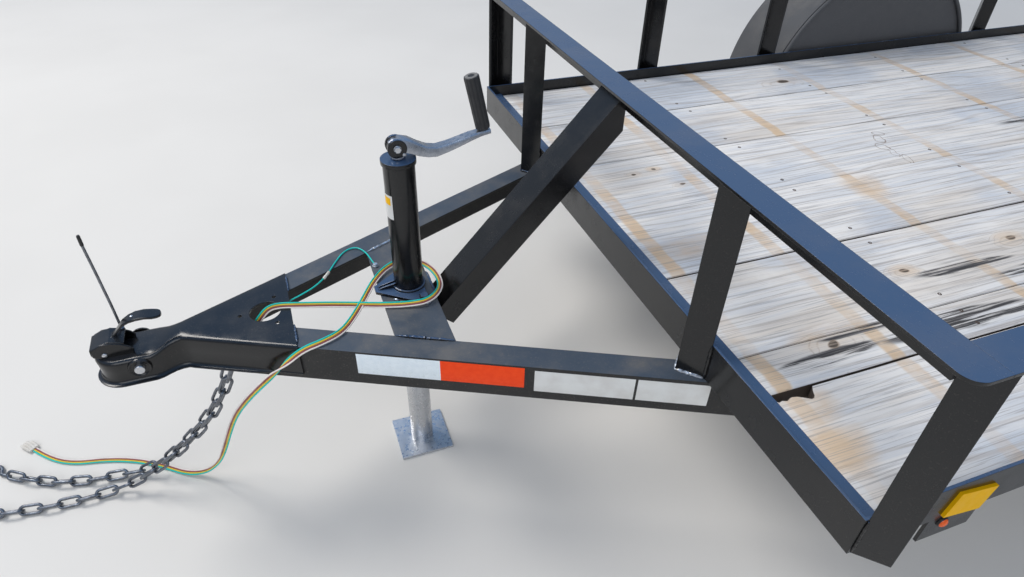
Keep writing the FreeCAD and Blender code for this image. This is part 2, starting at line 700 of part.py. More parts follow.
def cord_tube(name, route, radius):
    """A tube along straight runs joined by arcs as large as the shorter run allows."""
    corners = [point(*place) for place in route]
    edges = []
    radii = []
    here = corners[0]
    for before, corner, after in zip(corners, corners[1:], corners[2:]):
        back = before - corner
        ahead = after - corner
        half_turn = (math.pi - back.getAngle(ahead)) / 2
        trim = 0.45 * min(back.Length, ahead.Length)
        radii.append(trim / math.tan(half_turn))
        into = corner + back * (trim / back.Length)
        out = corner + ahead * (trim / ahead.Length)
        bisector = (back.normalize() + ahead.normalize()).normalize()
        middle = corner + bisector * (radii[-1] / math.cos(half_turn) - radii[-1])
        edges.append(Part.LineSegment(here, into).toShape())
        edges.append(Part.Arc(into, middle, out).toShape())
        here = out
    edges.append(Part.LineSegment(here, corners[-1]).toShape())
    path = Part.Wire(edges)
    section = Part.Wire([Part.makeCircle(radius, corners[0], corners[1] - corners[0])])
    tube = path.makePipeShell([section], True, False)
    expected = path.Length * math.pi * radius ** 2
    print(name, "length", round(path.Length), "volume", round(tube.Volume / expected, 4),
          "smallest radius", round(min(radii), 1), "diameters", round(min(radii) / radius / 2, 1))
    return tube


def harness_cable():
    return cord_tube("cable", CABLE_ROUTE, CABLE_RADIUS)


def harness_plug():
    """The four-way connector at the cable's end, lying on the ground."""
    tail = point(*CABLE_ROUTE[-1])
    direction = tail - point(*CABLE_ROUTE[-2])
    direction.z = 0
    half = PLUG_WIDTH / 2
    body = box(0, PLUG_LENGTH, -half, half, FLOOR_GAP - tail.z, FLOOR_GAP + PLUG_HEIGHT - tail.z)
    body.Placement = FreeCAD.Placement(tail, FreeCAD.Rotation(X_AXIS, direction))
    return body


def ground_wire():
    return cord_tube("ground wire", GROUND_WIRE_ROUTE, GROUND_WIRE_RADIUS)


def ground_screw():
    x, y, z = GROUND_WIRE_ROUTE[-1]
    before = GROUND_WIRE_ROUTE[-2]
    run = point(x - before[0], y - before[1], 0)
    centre = point(x, y, TONGUE_TOP) + run.normalize() * GROUND_SCREW_RADIUS
    return rod(centre, Z_AXIS, GROUND_SCREW_HEIGHT, GROUND_SCREW_RADIUS)


# Jack

def flange_bolt_places():
    inset = FLANGE_CORNER
    return [(JACK_X - FLANGE_BACK + inset, FLANGE_HALF_WIDTH - inset),
            (JACK_X - FLANGE_BACK + inset, inset - FLANGE_HALF_WIDTH)]


def jack_flange():
    corners = [(JACK_X + FLANGE_FRONT, FLANGE_CORNER), (JACK_X + FLANGE_FRONT, -FLANGE_CORNER),
               (JACK_X - FLANGE_CORNER, -FLANGE_HALF_WIDTH), (JACK_X - FLANGE_BACK, -FLANGE_HALF_WIDTH),
               (JACK_X - FLANGE_BACK, FLANGE_HALF_WIDTH), (JACK_X - FLANGE_CORNER, FLANGE_HALF_WIDTH)]
    plate = plan_plate(corners, TONGUE_TOP, TONGUE_TOP + FLANGE_THICKNESS)
    plate = plate.cut(rod(point(JACK_X, 0, 0), Z_AXIS, FRAME_TOP, JACK_TUBE_RADIUS))
    for x, y in flange_bolt_places():
        plate = plate.cut(rod(point(x, y, 0), Z_AXIS, FRAME_TOP, FLANGE_BOLT_RADIUS))
    return plate


def jack_tube():
    bottom = point(JACK_X, 0, JACK_TUBE_BOTTOM)
    length = JACK_TUBE_TOP - JACK_TUBE_BOTTOM
    wall = pipe(bottom, Z_AXIS, length, JACK_TUBE_RADIUS, JACK_TUBE_RADIUS - JACK_TUBE_WALL)
    cap = rod(point(JACK_X, 0, JACK_TUBE_TOP), Z_AXIS, JACK_CAP_HEIGHT, JACK_CAP_RADIUS)
    screw = rod(point(JACK_X, 0, CRANK_BASE - CRANK_GAP), Z_AXIS, SCREW_STUB, SCREW_RADIUS)
    return joined([wall, cap, screw, jack_flange()])


def jack_leg():
    outer = JACK_TUBE_RADIUS - JACK_TUBE_WALL - JACK_LEG_CLEARANCE
    length = JACK_TUBE_BOTTOM + JACK_LEG_OVERLAP
    leg = pipe(point(JACK_X, 0, 0), Z_AXIS, length, outer, outer - JACK_LEG_WALL)
    half = FOOT_SIDE / 2
    foot = box(JACK_X - half, JACK_X + half, -half, half, 0, FOOT_THICKNESS)
    return joined([leg, foot])


def jack_crank():
    """A hub on the screw's head and an arm that runs back, dips and rises to the grip."""
    hub_z = CRANK_BASE + CRANK_HUB_RISE
    half = CRANK_WIDTH / 2
    hub = rod(point(JACK_X, -half, hub_z), Y_AXIS, CRANK_WIDTH, CRANK_HUB_RADIUS)
    neck = rod(point(JACK_X, 0, CRANK_BASE), Z_AXIS, CRANK_HUB_RISE, CRANK_NECK_RADIUS)
    bore_top = CRANK_BASE + SCREW_STUB
    bore = rod(point(JACK_X, 0, 0), Z_AXIS, bore_top, SCREW_RADIUS + SCREW_CLEARANCE)
    bend_x = JACK_X - CRANK_BEND_REACH
    tip_x = JACK_X - CRANK_REACH - GRIP_RADIUS
    bend_z = CRANK_BASE + CRANK_BEND_RISE
    tip_z = CRANK_BASE + CRANK_TIP_RISE
    arm = side_plate([(JACK_X, hub_z + CRANK_HUB_RADIUS), (bend_x, bend_z + CRANK_ARM_HEIGHT),
                      (tip_x, tip_z + CRANK_TIP_HEIGHT), (tip_x, tip_z), (bend_x, bend_z),
                      (JACK_X, CRANK_BASE + CRANK_PLATE)], -half, half)
    return joined([hub, neck, arm]).cut(bore)


def crank_grip():
    z = CRANK_BASE + CRANK_TIP_RISE + CRANK_TIP_HEIGHT
    return rod(point(JACK_X - CRANK_REACH, 0, z), Z_AXIS, GRIP_LENGTH, GRIP_RADIUS)


# Axle and springs

def axle():
    ends = point(AXLE_X, -AXLE_HALF, AXLE_Z)
    beam = pipe(ends, Y_AXIS, 2 * AXLE_HALF, AXLE_RADIUS, AXLE_RADIUS - AXLE_WALL)
    spindle_start = point(AXLE_X, AXLE_HALF - AXLE_WALL, AXLE_Z)
    spindle_end = WHEEL_Y + HUB_FLANGE_THICKNESS
    plug = rod(spindle_start, Y_AXIS, AXLE_WALL, AXLE_RADIUS)
    spindle = rod(spindle_start, Y_AXIS, spindle_end - AXLE_HALF, SPINDLE_RADIUS)
    seat_top = AXLE_Z + AXLE_RADIUS + SPRING_SEAT
    seat = box(AXLE_X - AXLE_RADIUS, AXLE_X + AXLE_RADIUS, SPRING_Y - SPRING_WIDTH / 2,
               SPRING_Y + SPRING_WIDTH / 2, AXLE_Z, seat_top)
    seat = seat.cut(rod(point(AXLE_X, 0, AXLE_Z), Y_AXIS, FRAME_WIDTH, AXLE_RADIUS - AXLE_WALL))
    end = joined([plug, spindle, seat])
    return joined([beam, end, mirrored(end)])


def leaf(number, share):
    """One leaf of a spring, a slice of a ring whose middle is above the axle."""
    centre = point(AXLE_X, SPRING_Y - SPRING_WIDTH / 2, SPRING_TOP + SPRING_BEND)
    inner = SPRING_BEND + number * SPRING_LEAF
    ring = pipe(centre, Y_AXIS, SPRING_WIDTH, inner + SPRING_LEAF, inner)
    half = SPRING_HALF_LENGTH * share
    window = box(AXLE_X - half, AXLE_X + half, 0, FRAME_WIDTH, SPRING_BOTTOM - SPRING_LEAF, FRAME_BOTTOM)
    return ring.common(window)


def spring_top_z(distance):
    """Height of the top leaf's upper face at a distance along x from the axle."""
    return SPRING_TOP + SPRING_BEND - math.sqrt(SPRING_BEND ** 2 - distance ** 2)


def leaf_spring():
    leaves = [leaf(number, share) for number, share in enumerate(SPRING_LEAF_SHARES)]
    return joined(leaves)


def spring_hanger(direction):
    """Two cheek plates under the frame, a pad over the spring's end and a bolt below it."""
    end_x = AXLE_X + direction * SPRING_HALF_LENGTH
    low_x = end_x - HANGER_WIDTH / 2
    bolt_reach = SPRING_HALF_LENGTH - HANGER_WIDTH / 4
    leaf_under = spring_top_z(bolt_reach - HANGER_BOLT_RADIUS) - SPRING_LEAF - HANGER_CLEARANCE
    bolt_z = leaf_under - HANGER_BOLT_RADIUS
    low_z = bolt_z - HANGER_BOLT_RADIUS - HANGER_STEEL
    inner = SPRING_WIDTH / 2 + HANGER_CLEARANCE
    outer = inner + HANGER_STEEL
    pad_z = spring_top_z(SPRING_HALF_LENGTH)
    bolt_x = AXLE_X + direction * bolt_reach
    pieces = [box(low_x, low_x + HANGER_WIDTH, SPRING_Y - outer, SPRING_Y - inner, low_z, FRAME_BOTTOM),
              box(low_x, low_x + HANGER_WIDTH, SPRING_Y + inner, SPRING_Y + outer, low_z, FRAME_BOTTOM),
              box(low_x, low_x + HANGER_WIDTH, SPRING_Y - outer, SPRING_Y + outer, pad_z, FRAME_BOTTOM),
              rod(point(bolt_x, SPRING_Y - outer, bolt_z), Y_AXIS, 2 * outer, HANGER_BOLT_RADIUS)]
    return joined(pieces)


def axle_clamps():
    """Two bent rods round the axle and the plate above the spring that they pull down on."""
    reach = AXLE_RADIUS + CLAMP_ROD_RADIUS
    along = reach + 2 * CLAMP_ROD_RADIUS
    across = SPRING_WIDTH / 2 + 2 * CLAMP_ROD_RADIUS
    plate_z = spring_top_z(along)
    legs = plate_z + CLAMP_PLATE + CLAMP_THREAD - AXLE_Z
    pieces = [box(AXLE_X - along, AXLE_X + along, SPRING_Y - across, SPRING_Y + across, plate_z,
                  plate_z + CLAMP_PLATE)]
    above = box(AXLE_X - 2 * reach, AXLE_X + 2 * reach, 0, FRAME_WIDTH, AXLE_Z, AXLE_Z + 2 * reach)
    for side in (-1, 1):
        y = SPRING_Y + side * (SPRING_WIDTH / 2 + CLAMP_ROD_RADIUS)
        bend = Part.makeTorus(reach, CLAMP_ROD_RADIUS, point(AXLE_X, y, AXLE_Z), Y_AXIS)
        pieces.append(bend.cut(above))
        for x in (AXLE_X - reach, AXLE_X + reach):
            pieces.append(rod(point(x, y, AXLE_Z), Z_AXIS, legs, CLAMP_ROD_RADIUS))
    return joined(pieces)


# Wheels

def ring_from(profile):
    """A ring turned about the wheel's axle from (radius, y) corners, y measured from the disc."""
    corners = [point(AXLE_X, WHEEL_Y + y, AXLE_Z + radius) for radius, y in profile]
    face = Part.Face(Part.makePolygon(corners + corners[:1]))
    return face.revolve(point(AXLE_X, 0, AXLE_Z), Y_AXIS, 360)


def wheel_rod(radius_out, angle, y_low, y_high, radius):
    a = math.radians(angle)
    start = point(AXLE_X + radius_out * math.cos(a), WHEEL_Y + y_low, AXLE_Z + radius_out * math.sin(a))
    return rod(start, Y_AXIS, y_high - y_low, radius)


def tyre():
    """A ring of rubber with flat sides round it, its section as (radius, y) from tread to bead."""
    belly = TYRE_WIDTH / 2
    tread = belly - TYRE_SHOULDER
    bead = RIM_WIDTH / 2 - RIM_STEEL
    lip = RIM_RADIUS + RIM_LIP
    wall = (lip + TYRE_RADIUS) / 2
    half = [(TYRE_RADIUS / TYRE_STRETCH, tread - 2), (TYRE_RADIUS - 20, belly - 7), (wall, belly),
            (lip + 2, bead), (RIM_RADIUS, bead)]
    hollow = [(RIM_RADIUS, bead - 14), (wall - 12, belly - TYRE_WALL),
              (TYRE_RADIUS - TYRE_CROWN, tread - 14)]
    profile = half + hollow
    profile += [(radius, -y) for radius, y in reversed(profile)]
    rings = []
    for number in range(TYRE_SIDES + 1):
        a = 2 * math.pi * (number + 0.5) / TYRE_SIDES
        rings.append([point(AXLE_X + radius * TYRE_STRETCH * math.sin(a), WHEEL_Y + y,
                            AXLE_Z + radius * TYRE_STRETCH * math.cos(a)) for radius, y in profile])
    faces = []
    for ring, after in zip(rings, rings[1:]):
        for corner in range(len(profile)):
            corners = [ring[corner - 1], ring[corner], after[corner], after[corner - 1]]
            faces.append(Part.Face(Part.makePolygon(corners + corners[:1])))
    shell = Part.Shell(faces)
    solid = Part.Solid(shell)
    if solid.Volume < 0:
        solid.reverse()
    return solid


def rim():
    half = RIM_WIDTH / 2
    seat = half - RIM_STEEL
    well = half - 46
    low = RIM_RADIUS - RIM_WELL
    lip = RIM_RADIUS + RIM_LIP
    outer = [(lip, half), (lip, seat), (RIM_RADIUS, seat), (RIM_RADIUS, well + 14), (low, well - 6)]
    inner = [(low - RIM_STEEL, well - 6), (RIM_RADIUS - RIM_STEEL, well + 14), (RIM_RADIUS - RIM_STEEL, half)]
    outer_all = outer + [(radius, -y) for radius, y in reversed(outer)]
    inner_all = [(radius, -y) for radius, y in inner[::-1]]
    barrel = ring_from(outer_all + inner_all + inner)
    disc = ring_from([(DISC_BORE_RADIUS, 0), (HUB_FLANGE_RADIUS + 4, 0), (WINDOW_INNER_RADIUS - 6, DISC_DISH),
                      (low - RIM_STEEL, DISC_DISH - 12), (low - RIM_STEEL, DISC_DISH - 12 + DISC_STEEL),
                      (WINDOW_INNER_RADIUS - 6, DISC_DISH + DISC_STEEL),
                      (HUB_FLANGE_RADIUS + 2, DISC_STEEL), (DISC_BORE_RADIUS, DISC_STEEL)])
    for number in range(LUG_COUNT):
        angle = 90 + 360 / LUG_COUNT * number
        disc = disc.cut(wheel_rod(STUD_CIRCLE_RADIUS, angle, -1, DISC_STEEL + 1, STUD_RADIUS + 0.5))
    for number in range(WINDOW_COUNT):
        disc = disc.cut(window_cutter(360 / WINDOW_COUNT * number))
    return joined([barrel, disc])


def window_cutter(angle):
    corners = []
    for radius, share in ((WINDOW_INNER_RADIUS, -0.6), (WINDOW_OUTER_RADIUS, -1.0),
                          (WINDOW_OUTER_RADIUS, 1.0), (WINDOW_INNER_RADIUS, 0.6)):
        a = math.radians(angle + share * WINDOW_HALF_ANGLE)
        corners.append(point(AXLE_X + radius * math.cos(a), WHEEL_Y - 10, AXLE_Z + radius * math.sin(a)))
    return prism(corners, Y_AXIS * (DISC_DISH + DISC_STEEL + 30))


def hub():
    bore = SPINDLE_RADIUS + SPINDLE_CLEARANCE
    start = point(AXLE_X, HUB_INNER_Y, AXLE_Z)
    barrel = rod(start, Y_AXIS, HUB_LENGTH, HUB_RADIUS)
    flange = rod(point(AXLE_X, WHEEL_Y - HUB_FLANGE_THICKNESS, AXLE_Z), Y_AXIS, HUB_FLANGE_THICKNESS,
                 HUB_FLANGE_RADIUS)
    cap_end = HUB_INNER_Y + HUB_LENGTH
    cap = rod(point(AXLE_X, cap_end, AXLE_Z), Y_AXIS, GREASE_CAP_LENGTH, GREASE_CAP_RADIUS)
    bore_hole = rod(start, Y_AXIS, HUB_LENGTH + GREASE_CAP_LENGTH / 2, bore)
    studs = []
    for number in range(LUG_COUNT):
        angle = 90 + 360 / LUG_COUNT * number
        studs.append(wheel_rod(STUD_CIRCLE_RADIUS, angle, 0, STUD_LENGTH, STUD_RADIUS))
        studs.append(nut(angle))
    return joined([barrel, flange, cap] + studs).cut(bore_hole)


def nut(angle):
    a = math.radians(angle)
    centre = point(AXLE_X + STUD_CIRCLE_RADIUS * math.cos(a), WHEEL_Y + DISC_STEEL,
                   AXLE_Z + STUD_CIRCLE_RADIUS * math.sin(a))
    corners = []
    for side in range(6):
        turn = math.radians(60 * side)
        reach = NUT_ACROSS / math.sqrt(3)
        corners.append(centre + point(reach * math.cos(turn), 0, reach * math.sin(turn)))
    return prism(corners, Y_AXIS * NUT_HEIGHT)


# Fenders

def fender():
    """A round mudguard: a band over the tyre, a back plate, a rolled bead and an outer lip."""
    axis = point(AXLE_X, FENDER_INNER_Y, AXLE_Z)
    band = pipe(axis, Y_AXIS, FENDER_WIDTH, FENDER_RADIUS, FENDER_RADIUS - SHEET)
    back = rod(axis, Y_AXIS, SHEET, FENDER_RADIUS)
    back = back.cut(back_opening())
    lip_start = point(AXLE_X, FENDER_INNER_Y + FENDER_WIDTH - SHEET, AXLE_Z)
    lip = pipe(lip_start, Y_AXIS, SHEET, FENDER_RADIUS, FENDER_RADIUS - FENDER_LIP)
    bead_radius = FENDER_BEAD / 2
    bead_centre = point(AXLE_X, FENDER_INNER_Y - bead_radius, AXLE_Z)
    bead = Part.makeTorus(FENDER_RADIUS - bead_radius, bead_radius, bead_centre, Y_AXIS)
    low = AXLE_Z + FENDER_RADIUS * math.sin(math.radians(FENDER_END_ANGLE))
    below = box(AXLE_X - 2 * FENDER_RADIUS, AXLE_X + 2 * FENDER_RADIUS, 0, FRAME_WIDTH,
                AXLE_Z - 2 * FENDER_RADIUS, low)
    return joined([band, back, lip, bead]).cut(below)


def back_opening():
    """The back plate stops a little below the frame's bottom edge, clear of the axle."""
    reach = 2 * FENDER_RADIUS
    return box(AXLE_X - reach, AXLE_X + reach, 0, FRAME_WIDTH, AXLE_Z - reach, FRAME_BOTTOM - STEEL)


# Ramp gate

def gate_frame():
    back = GATE_BACK_X
    face = GATE_FRONT_X - GATE_MESH
    web = face - GATE_STEEL
    half = GATE_HALF
    pieces = []
    for side in (-1, 1):
        outer = side * half
        for width, x_back in ((GATE_LEG, web), (GATE_STEEL, back)):
            inner = outer - side * width
            pieces.append(box(x_back, face, min(inner, outer), max(inner, outer), GATE_BOTTOM, GATE_TOP))
    for edge, direction in ((GATE_BOTTOM, 1), (GATE_TOP, -1)):
        for width, x_back in ((GATE_LEG, web), (GATE_STEEL, back)):
            other = edge + direction * width
            pieces.append(box(x_back, face, -half, half, min(edge, other), max(edge, other)))
    for number in range(GATE_UPRIGHTS):
        y = -half + 2 * half * (number + 1) / (GATE_UPRIGHTS + 1)
        pieces.append(box(web, face, y - GATE_LEG / 2, y + GATE_LEG / 2, GATE_BOTTOM, GATE_TOP))
        pieces.append(box(back, face, y - GATE_STEEL / 2, y + GATE_STEEL / 2, GATE_BOTTOM, GATE_TOP))
    pieces += gate_barrels()
    return joined(pieces)


def gate_barrels():
    pieces = []
    bore = GATE_PIN_RADIUS + GATE_PIN_CLEARANCE
    for side in (-1, 1):
        start = side * GATE_HINGE_Y - GATE_BARREL_LENGTH / 2
        barrel = rod(point(GATE_HINGE_X, start, GATE_HINGE_Z), Y_AXIS, GATE_BARREL_LENGTH, GATE_BARREL_RADIUS)
        strap = box(GATE_BACK_X - GATE_STRAP, GATE_BACK_X, start, start + GATE_BARREL_LENGTH, GATE_HINGE_Z,
                    GATE_BOTTOM + GATE_LEG)
        hole = rod(point(GATE_HINGE_X, start, GATE_HINGE_Z), Y_AXIS, GATE_BARREL_LENGTH, bore)
        pieces.append(barrel.fuse(strap).cut(hole))
    return pieces


def gate_mesh():
    """Two families of slanted strands, joined where they cross."""
    low = GATE_BOTTOM + GATE_STEEL
    high = GATE_TOP - GATE_STEEL
    half = GATE_HALF - GATE_STEEL
    back = GATE_FRONT_X - GATE_MESH
    window = box(back, GATE_FRONT_X, -half, half, low, high)
    reach = (high - low) / GATE_MESH_SLOPE
    strands = []
    start = -half - reach
    while start < half:
        for side in (-1, 1):
            corners = [(side * start, low), (side * (start + GATE_STRAND * 2), low),
                       (side * (start + reach + GATE_STRAND * 2), high), (side * (start + reach), high)]
            strands.append(end_plate(corners, back, GATE_FRONT_X).common(window))
        start += GATE_MESH_PITCH * 2
    border = window.cut(box(back, GATE_FRONT_X, -half + GATE_LEG / 2, half - GATE_LEG / 2,
                            low + GATE_LEG / 2, high - GATE_LEG / 2))
    return border.multiFuse([strand for strand in strands if strand.Volume > 1])


def gate_hinges():
    """Lugs on the back of the frame, each pair holding one pin of the gate."""
    hinges = []
    outer = GATE_BARREL_RADIUS
    reach = GATE_BARREL_LENGTH / 2 + GATE_BARREL_GAP
    for side in (-1, 1):
        middle = side * GATE_HINGE_Y
        pieces = [rod(point(GATE_HINGE_X, middle - reach - GATE_LUG, GATE_HINGE_Z), Y_AXIS,
                      2 * (reach + GATE_LUG), GATE_PIN_RADIUS)]
        for start in (middle - reach - GATE_LUG, middle + reach):
            pieces.append(rod(point(GATE_HINGE_X, start, GATE_HINGE_Z), Y_AXIS, GATE_LUG, outer))
            pieces.append(box(GATE_HINGE_X, REAR_X, start, start + GATE_LUG, GATE_HINGE_Z - outer,
                              GATE_HINGE_Z + outer / 2))
        hinges.append(joined(pieces))
    return hinges


# Lamps and reflectors

def marker_bracket():
    bottom = FRAME_BOTTOM - MARKER_PLATE_DROP
    return box(MARKER_PLATE_BACK_X, MARKER_PLATE_FRONT_X, INNER_HALF, FRAME_HALF, bottom, FRAME_BOTTOM)


def marker_lamp():
    return rod(point(MARKER_X, FRAME_HALF, FRAME_TOP - MARKER_DROP), Y_AXIS, MARKER_LENS, MARKER_RADIUS)


def front_reflector():
    along = REFLECTOR_LENGTH / 2
    up = REFLECTOR_HEIGHT / 2
    z = FRAME_TOP - REFLECTOR_DROP
    plate = box(REFLECTOR_X - along, REFLECTOR_X + along, FRAME_HALF, FRAME_HALF + REFLECTOR_THICKNESS,
                z - up, z + up)
    return turned(plate, point(REFLECTOR_X, 0, z), Y_AXIS, -REFLECTOR_TILT)


def lamp_bracket():
    top = DECK_TOP + STEEL
    return box(REAR_X, LAMP_X, FRAME_HALF, FRAME_HALF + LAMP_PLATE_WIDTH, top - LAMP_PLATE_HEIGHT, top)


def lamp_body():
    return box(REAR_X - LAMP_DEPTH, REAR_X, LAMP_OUTER_Y - LAMP_WIDTH, LAMP_OUTER_Y,
               LAMP_TOP - LAMP_HEIGHT, LAMP_TOP)


def lamp_lens():
    back = REAR_X - LAMP_DEPTH
    return box(back - LAMP_LENS, back, LAMP_OUTER_Y - LAMP_WIDTH, LAMP_OUTER_Y,
               LAMP_TOP - LAMP_HEIGHT, LAMP_TOP)


def number_plate_holder():
    low_edge = DECK_TOP + STEEL - FRAME_LEG
    top = low_edge + NUMBER_PLATE_OVERLAP
    half = NUMBER_PLATE_WIDTH / 2
    back = REAR_X + STEEL
    holder = box(back, back + SHEET, NUMBER_PLATE_Y - half, NUMBER_PLATE_Y + half,
                 top - NUMBER_PLATE_HEIGHT, top)
    for y_side in (-1, 1):
        for z_side in (-1, 1):
            y = NUMBER_PLATE_Y + y_side * NUMBER_PLATE_HOLES_ACROSS / 2
            z = top - NUMBER_PLATE_HEIGHT / 2 + z_side * NUMBER_PLATE_HOLES_UP / 2
            holder = holder.cut(rod(point(back, y, z), X_AXIS, SHEET, NUMBER_PLATE_HOLE_RADIUS))
    return holder


def both(shape):
    return [shape, mirrored(shape)]


# The chains' hooks are the foremost point of all, so the origin follows from them
CHAINS = safety_chains()
ORIGIN_X = (CHAINS.BoundBox.XMax + TRAILER_BACK_X) / 2


def build():
    os.makedirs("parts", exist_ok=True)
    save("frame_front_member", [front_member()])
    save("frame_rear_member", [rear_member()])
    save("frame_side_rails", both(side_rail()))
    save("cross_members", cross_members())
    save("deck_boards", deck_boards())
    save("board_retainer", [board_retainer()])
    save("posts_front", front_posts())
    save("side_posts", side_posts() + [mirrored(bar) for bar in side_posts()])
    save("top_rail_front", [front_top_rail()])
    save("top_rails_side", both(side_top_rail()))
    save_pair("tongue_rail", tongue_rail())
    save("tongue_cross_plate", [cross_plate()])
    save("tongue_brace", [brace()])
    save("coupler_body", [coupler_body()])
    save("coupler_latch", coupler_latch())
    save("safety_chains", [CHAINS])
    save("harness_cable", [harness_cable()])
    save("harness_plug", [harness_plug()])
    save("ground_wire", [ground_wire()])
    save("ground_screw", [ground_screw()])
    save("jack_tube", [jack_tube()])
    save("jack_leg", [jack_leg()])
    save("jack_crank", [jack_crank()])
    save("jack_grip", [crank_grip()])
    save("axle", [axle()])
    save("leaf_springs", both(leaf_spring()))
    save("spring_hangers", both(spring_hanger(1)) + both(spring_hanger(-1)))
    save("axle_clamps", both(axle_clamps()))
    save_pair("tyre", tyre())
    save_pair("rim", rim())
    save_pair("hub", hub())
    save_pair("fender", fender())
    save("gate_frame", [gate_frame()])
    save("gate_mesh", [gate_mesh()])
    save("gate_hinges", gate_hinges())
    save("marker_lamps", both(marker_lamp()))
    save("reflectors", both(front_reflector()))
    save("lamp_brackets", both(lamp_bracket()) + both(marker_bracket()))
    save("tail_lamp_bodies", both(lamp_body()))
    save("tail_lamp_lenses", both(lamp_lens()))
    save("number_plate_holder", [number_plate_holder()])


build()
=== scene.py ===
import json
import math
import random

import bmesh
import bpy
from mathutils import Matrix, Vector, noise


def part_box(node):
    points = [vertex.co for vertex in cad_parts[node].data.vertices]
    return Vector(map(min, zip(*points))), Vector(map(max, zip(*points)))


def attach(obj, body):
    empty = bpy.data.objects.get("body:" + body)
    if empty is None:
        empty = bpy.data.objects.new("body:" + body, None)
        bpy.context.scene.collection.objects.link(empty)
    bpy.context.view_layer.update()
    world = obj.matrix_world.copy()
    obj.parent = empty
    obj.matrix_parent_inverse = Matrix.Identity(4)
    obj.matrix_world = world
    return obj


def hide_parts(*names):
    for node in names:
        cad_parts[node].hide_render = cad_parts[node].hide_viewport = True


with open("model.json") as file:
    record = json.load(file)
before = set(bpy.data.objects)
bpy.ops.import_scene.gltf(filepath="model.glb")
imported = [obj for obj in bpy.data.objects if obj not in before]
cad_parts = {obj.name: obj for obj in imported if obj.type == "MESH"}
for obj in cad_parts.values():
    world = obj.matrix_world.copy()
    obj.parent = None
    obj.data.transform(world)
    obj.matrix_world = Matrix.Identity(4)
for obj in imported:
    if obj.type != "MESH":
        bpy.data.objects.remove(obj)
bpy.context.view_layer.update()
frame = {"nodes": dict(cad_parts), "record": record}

# Places are written in millimetres as in the part's source: x forwards from the front face of
# the frame, y to the left, z up from the ground.
ORIGIN_X = -547.3720647199812
FRAME_HALF = 762.0
INNER_HALF = 757.2
BOARD_BOTTOM = 463.4
DECK_TOP = 501.5
RAIL_TOP = 834.8
REAR_X = -2438.4
TONGUE_HALF_WIDTH = 425.7
TONGUE_SLOPE = 0.482
TONGUE_RAIL_WIDTH = 50.8
PLATE_ACROSS = 5.3
JACK_X = 418.0

# Routes of the wiring and the chains, with the points of the part's source
CABLE_WIDTH = 10.0
WIRE_RADIUS = CABLE_WIDTH / 8 * 1.2
CABLE_ROUTE = (
    (716, 3, 432), (702, -1, 448), (686, -5, 461), (664, -3, 463.6), (630, 7, 463),
    (580, 20, 461.5), (530, 36, 460.5), (482, 53, 460), (437, 67, 461.5), (396, 74, 465),
    (364, 46, 467), (358, 2, 466), (370, -42, 466.5), (403, -77, 465.5), (448, -66, 462),
    (484, -26, 460.5), (510, 22, 461), (538, 70, 461.5), (566, 106, 460.8), (604, 123, 461.2),
    (640, 128, 457.5), (674, 129, 434), (712, 122, 398), (752, 100, 345), (786, 70, 282),
    (812, 42, 212), (836, 14, 138), (862, -14, 66), (898, -38, 18), (944, -60, 4.2),
    (992, -98, 4.8), (1052, -136, 4.2), (1118, -160, 4.6), (1184, -172, 4.8), (1236, -204, 4.2),
    (1272, -244, 4.2))
GROUND_WIRE_WIDTH = 3.0
GROUND_WIRE_ROUTE = (
    (668, -22, 446), (650, -30, 448), (622, -42, 450), (592, -58, 452.5), (566, -84, 456),
    (546, -120, 456.4), (522, -156, 456), (496, -164, 456.6), (480, -140, 456.8),
    (474, -112, 456.4), (470, -90, 455.8))
GROUND_SCREW = (468.9, -84.1, 454.6)
CHAIN_WIRE = 6.6
CHAIN_PITCH = 36.9
CHAIN_WIDTH = 24.0
CHAIN_TWIST = 45.0
CHAIN_TWIST_LINKS = 8
CHAIN_BOLT_X = 770
CHAIN_BOLT_Z = 389.8
CHAIN_BOLT_RADIUS = 4.8
CHAIN_STARTS = ((CHAIN_BOLT_X, 20, 394.15), (CHAIN_BOLT_X, -20, 394.15))
CHAIN_ROUTES = (
    ((770, 20, 368), (790, 15, 322), (814, 9, 272), (847, 1, 217), (905, -13, 150), (963, -27, 93),
     (1032, -44, 38), (1094, -56, 13), (1164, -55, 11.4), (1227, -59, 11.4), (1301, -70, 11.4),
     (1345, -80, 11.4)),
    ((770, -20, 368), (792, -26, 308), (822, -34, 242), (860, -43, 180), (915, -57, 113),
     (972, -71, 56), (1030, -86, 19), (1084, -98, 11.4), (1145, -104, 11.4), (1211, -122, 11.4),
     (1265, -148, 11.4), (1318, -182, 11.4)))

UP = Vector((0, 0, 1))
ALONG = Vector((1, 0, 0))
ACROSS = Vector((0, 1, 0))
SIDES = (1, -1)


def at(x, y, z):
    return Vector(((x - ORIGIN_X) / 1000, y / 1000, z / 1000))


def between(table, x, share=lambda part: part):
    """The value at x from a table of (x, value) that runs up in x, or 0 past its ends."""
    for (low, low_value), (high, high_value) in zip(table, table[1:]):
        if low <= x <= high:
            return low_value + (high_value - low_value) * share((x - low) / (high - low))
    return 0.0


def soft(part):
    """The same share from 0 to 1, starting and ending slowly."""
    return part * part * (3 - 2 * part)


def add_object(name, data):
    obj = bpy.data.objects.new(name, data)
    bpy.context.collection.objects.link(obj)
    return obj


def level(direction):
    """The direction turned level, and the one to its left."""
    ahead = Vector((direction.x, direction.y, 0)).normalized()
    return ahead, UP.cross(ahead)


def tongue_y(x):
    """Where the outer face of the left tongue rail is."""
    return TONGUE_HALF_WIDTH - TONGUE_SLOPE * x


# Camera

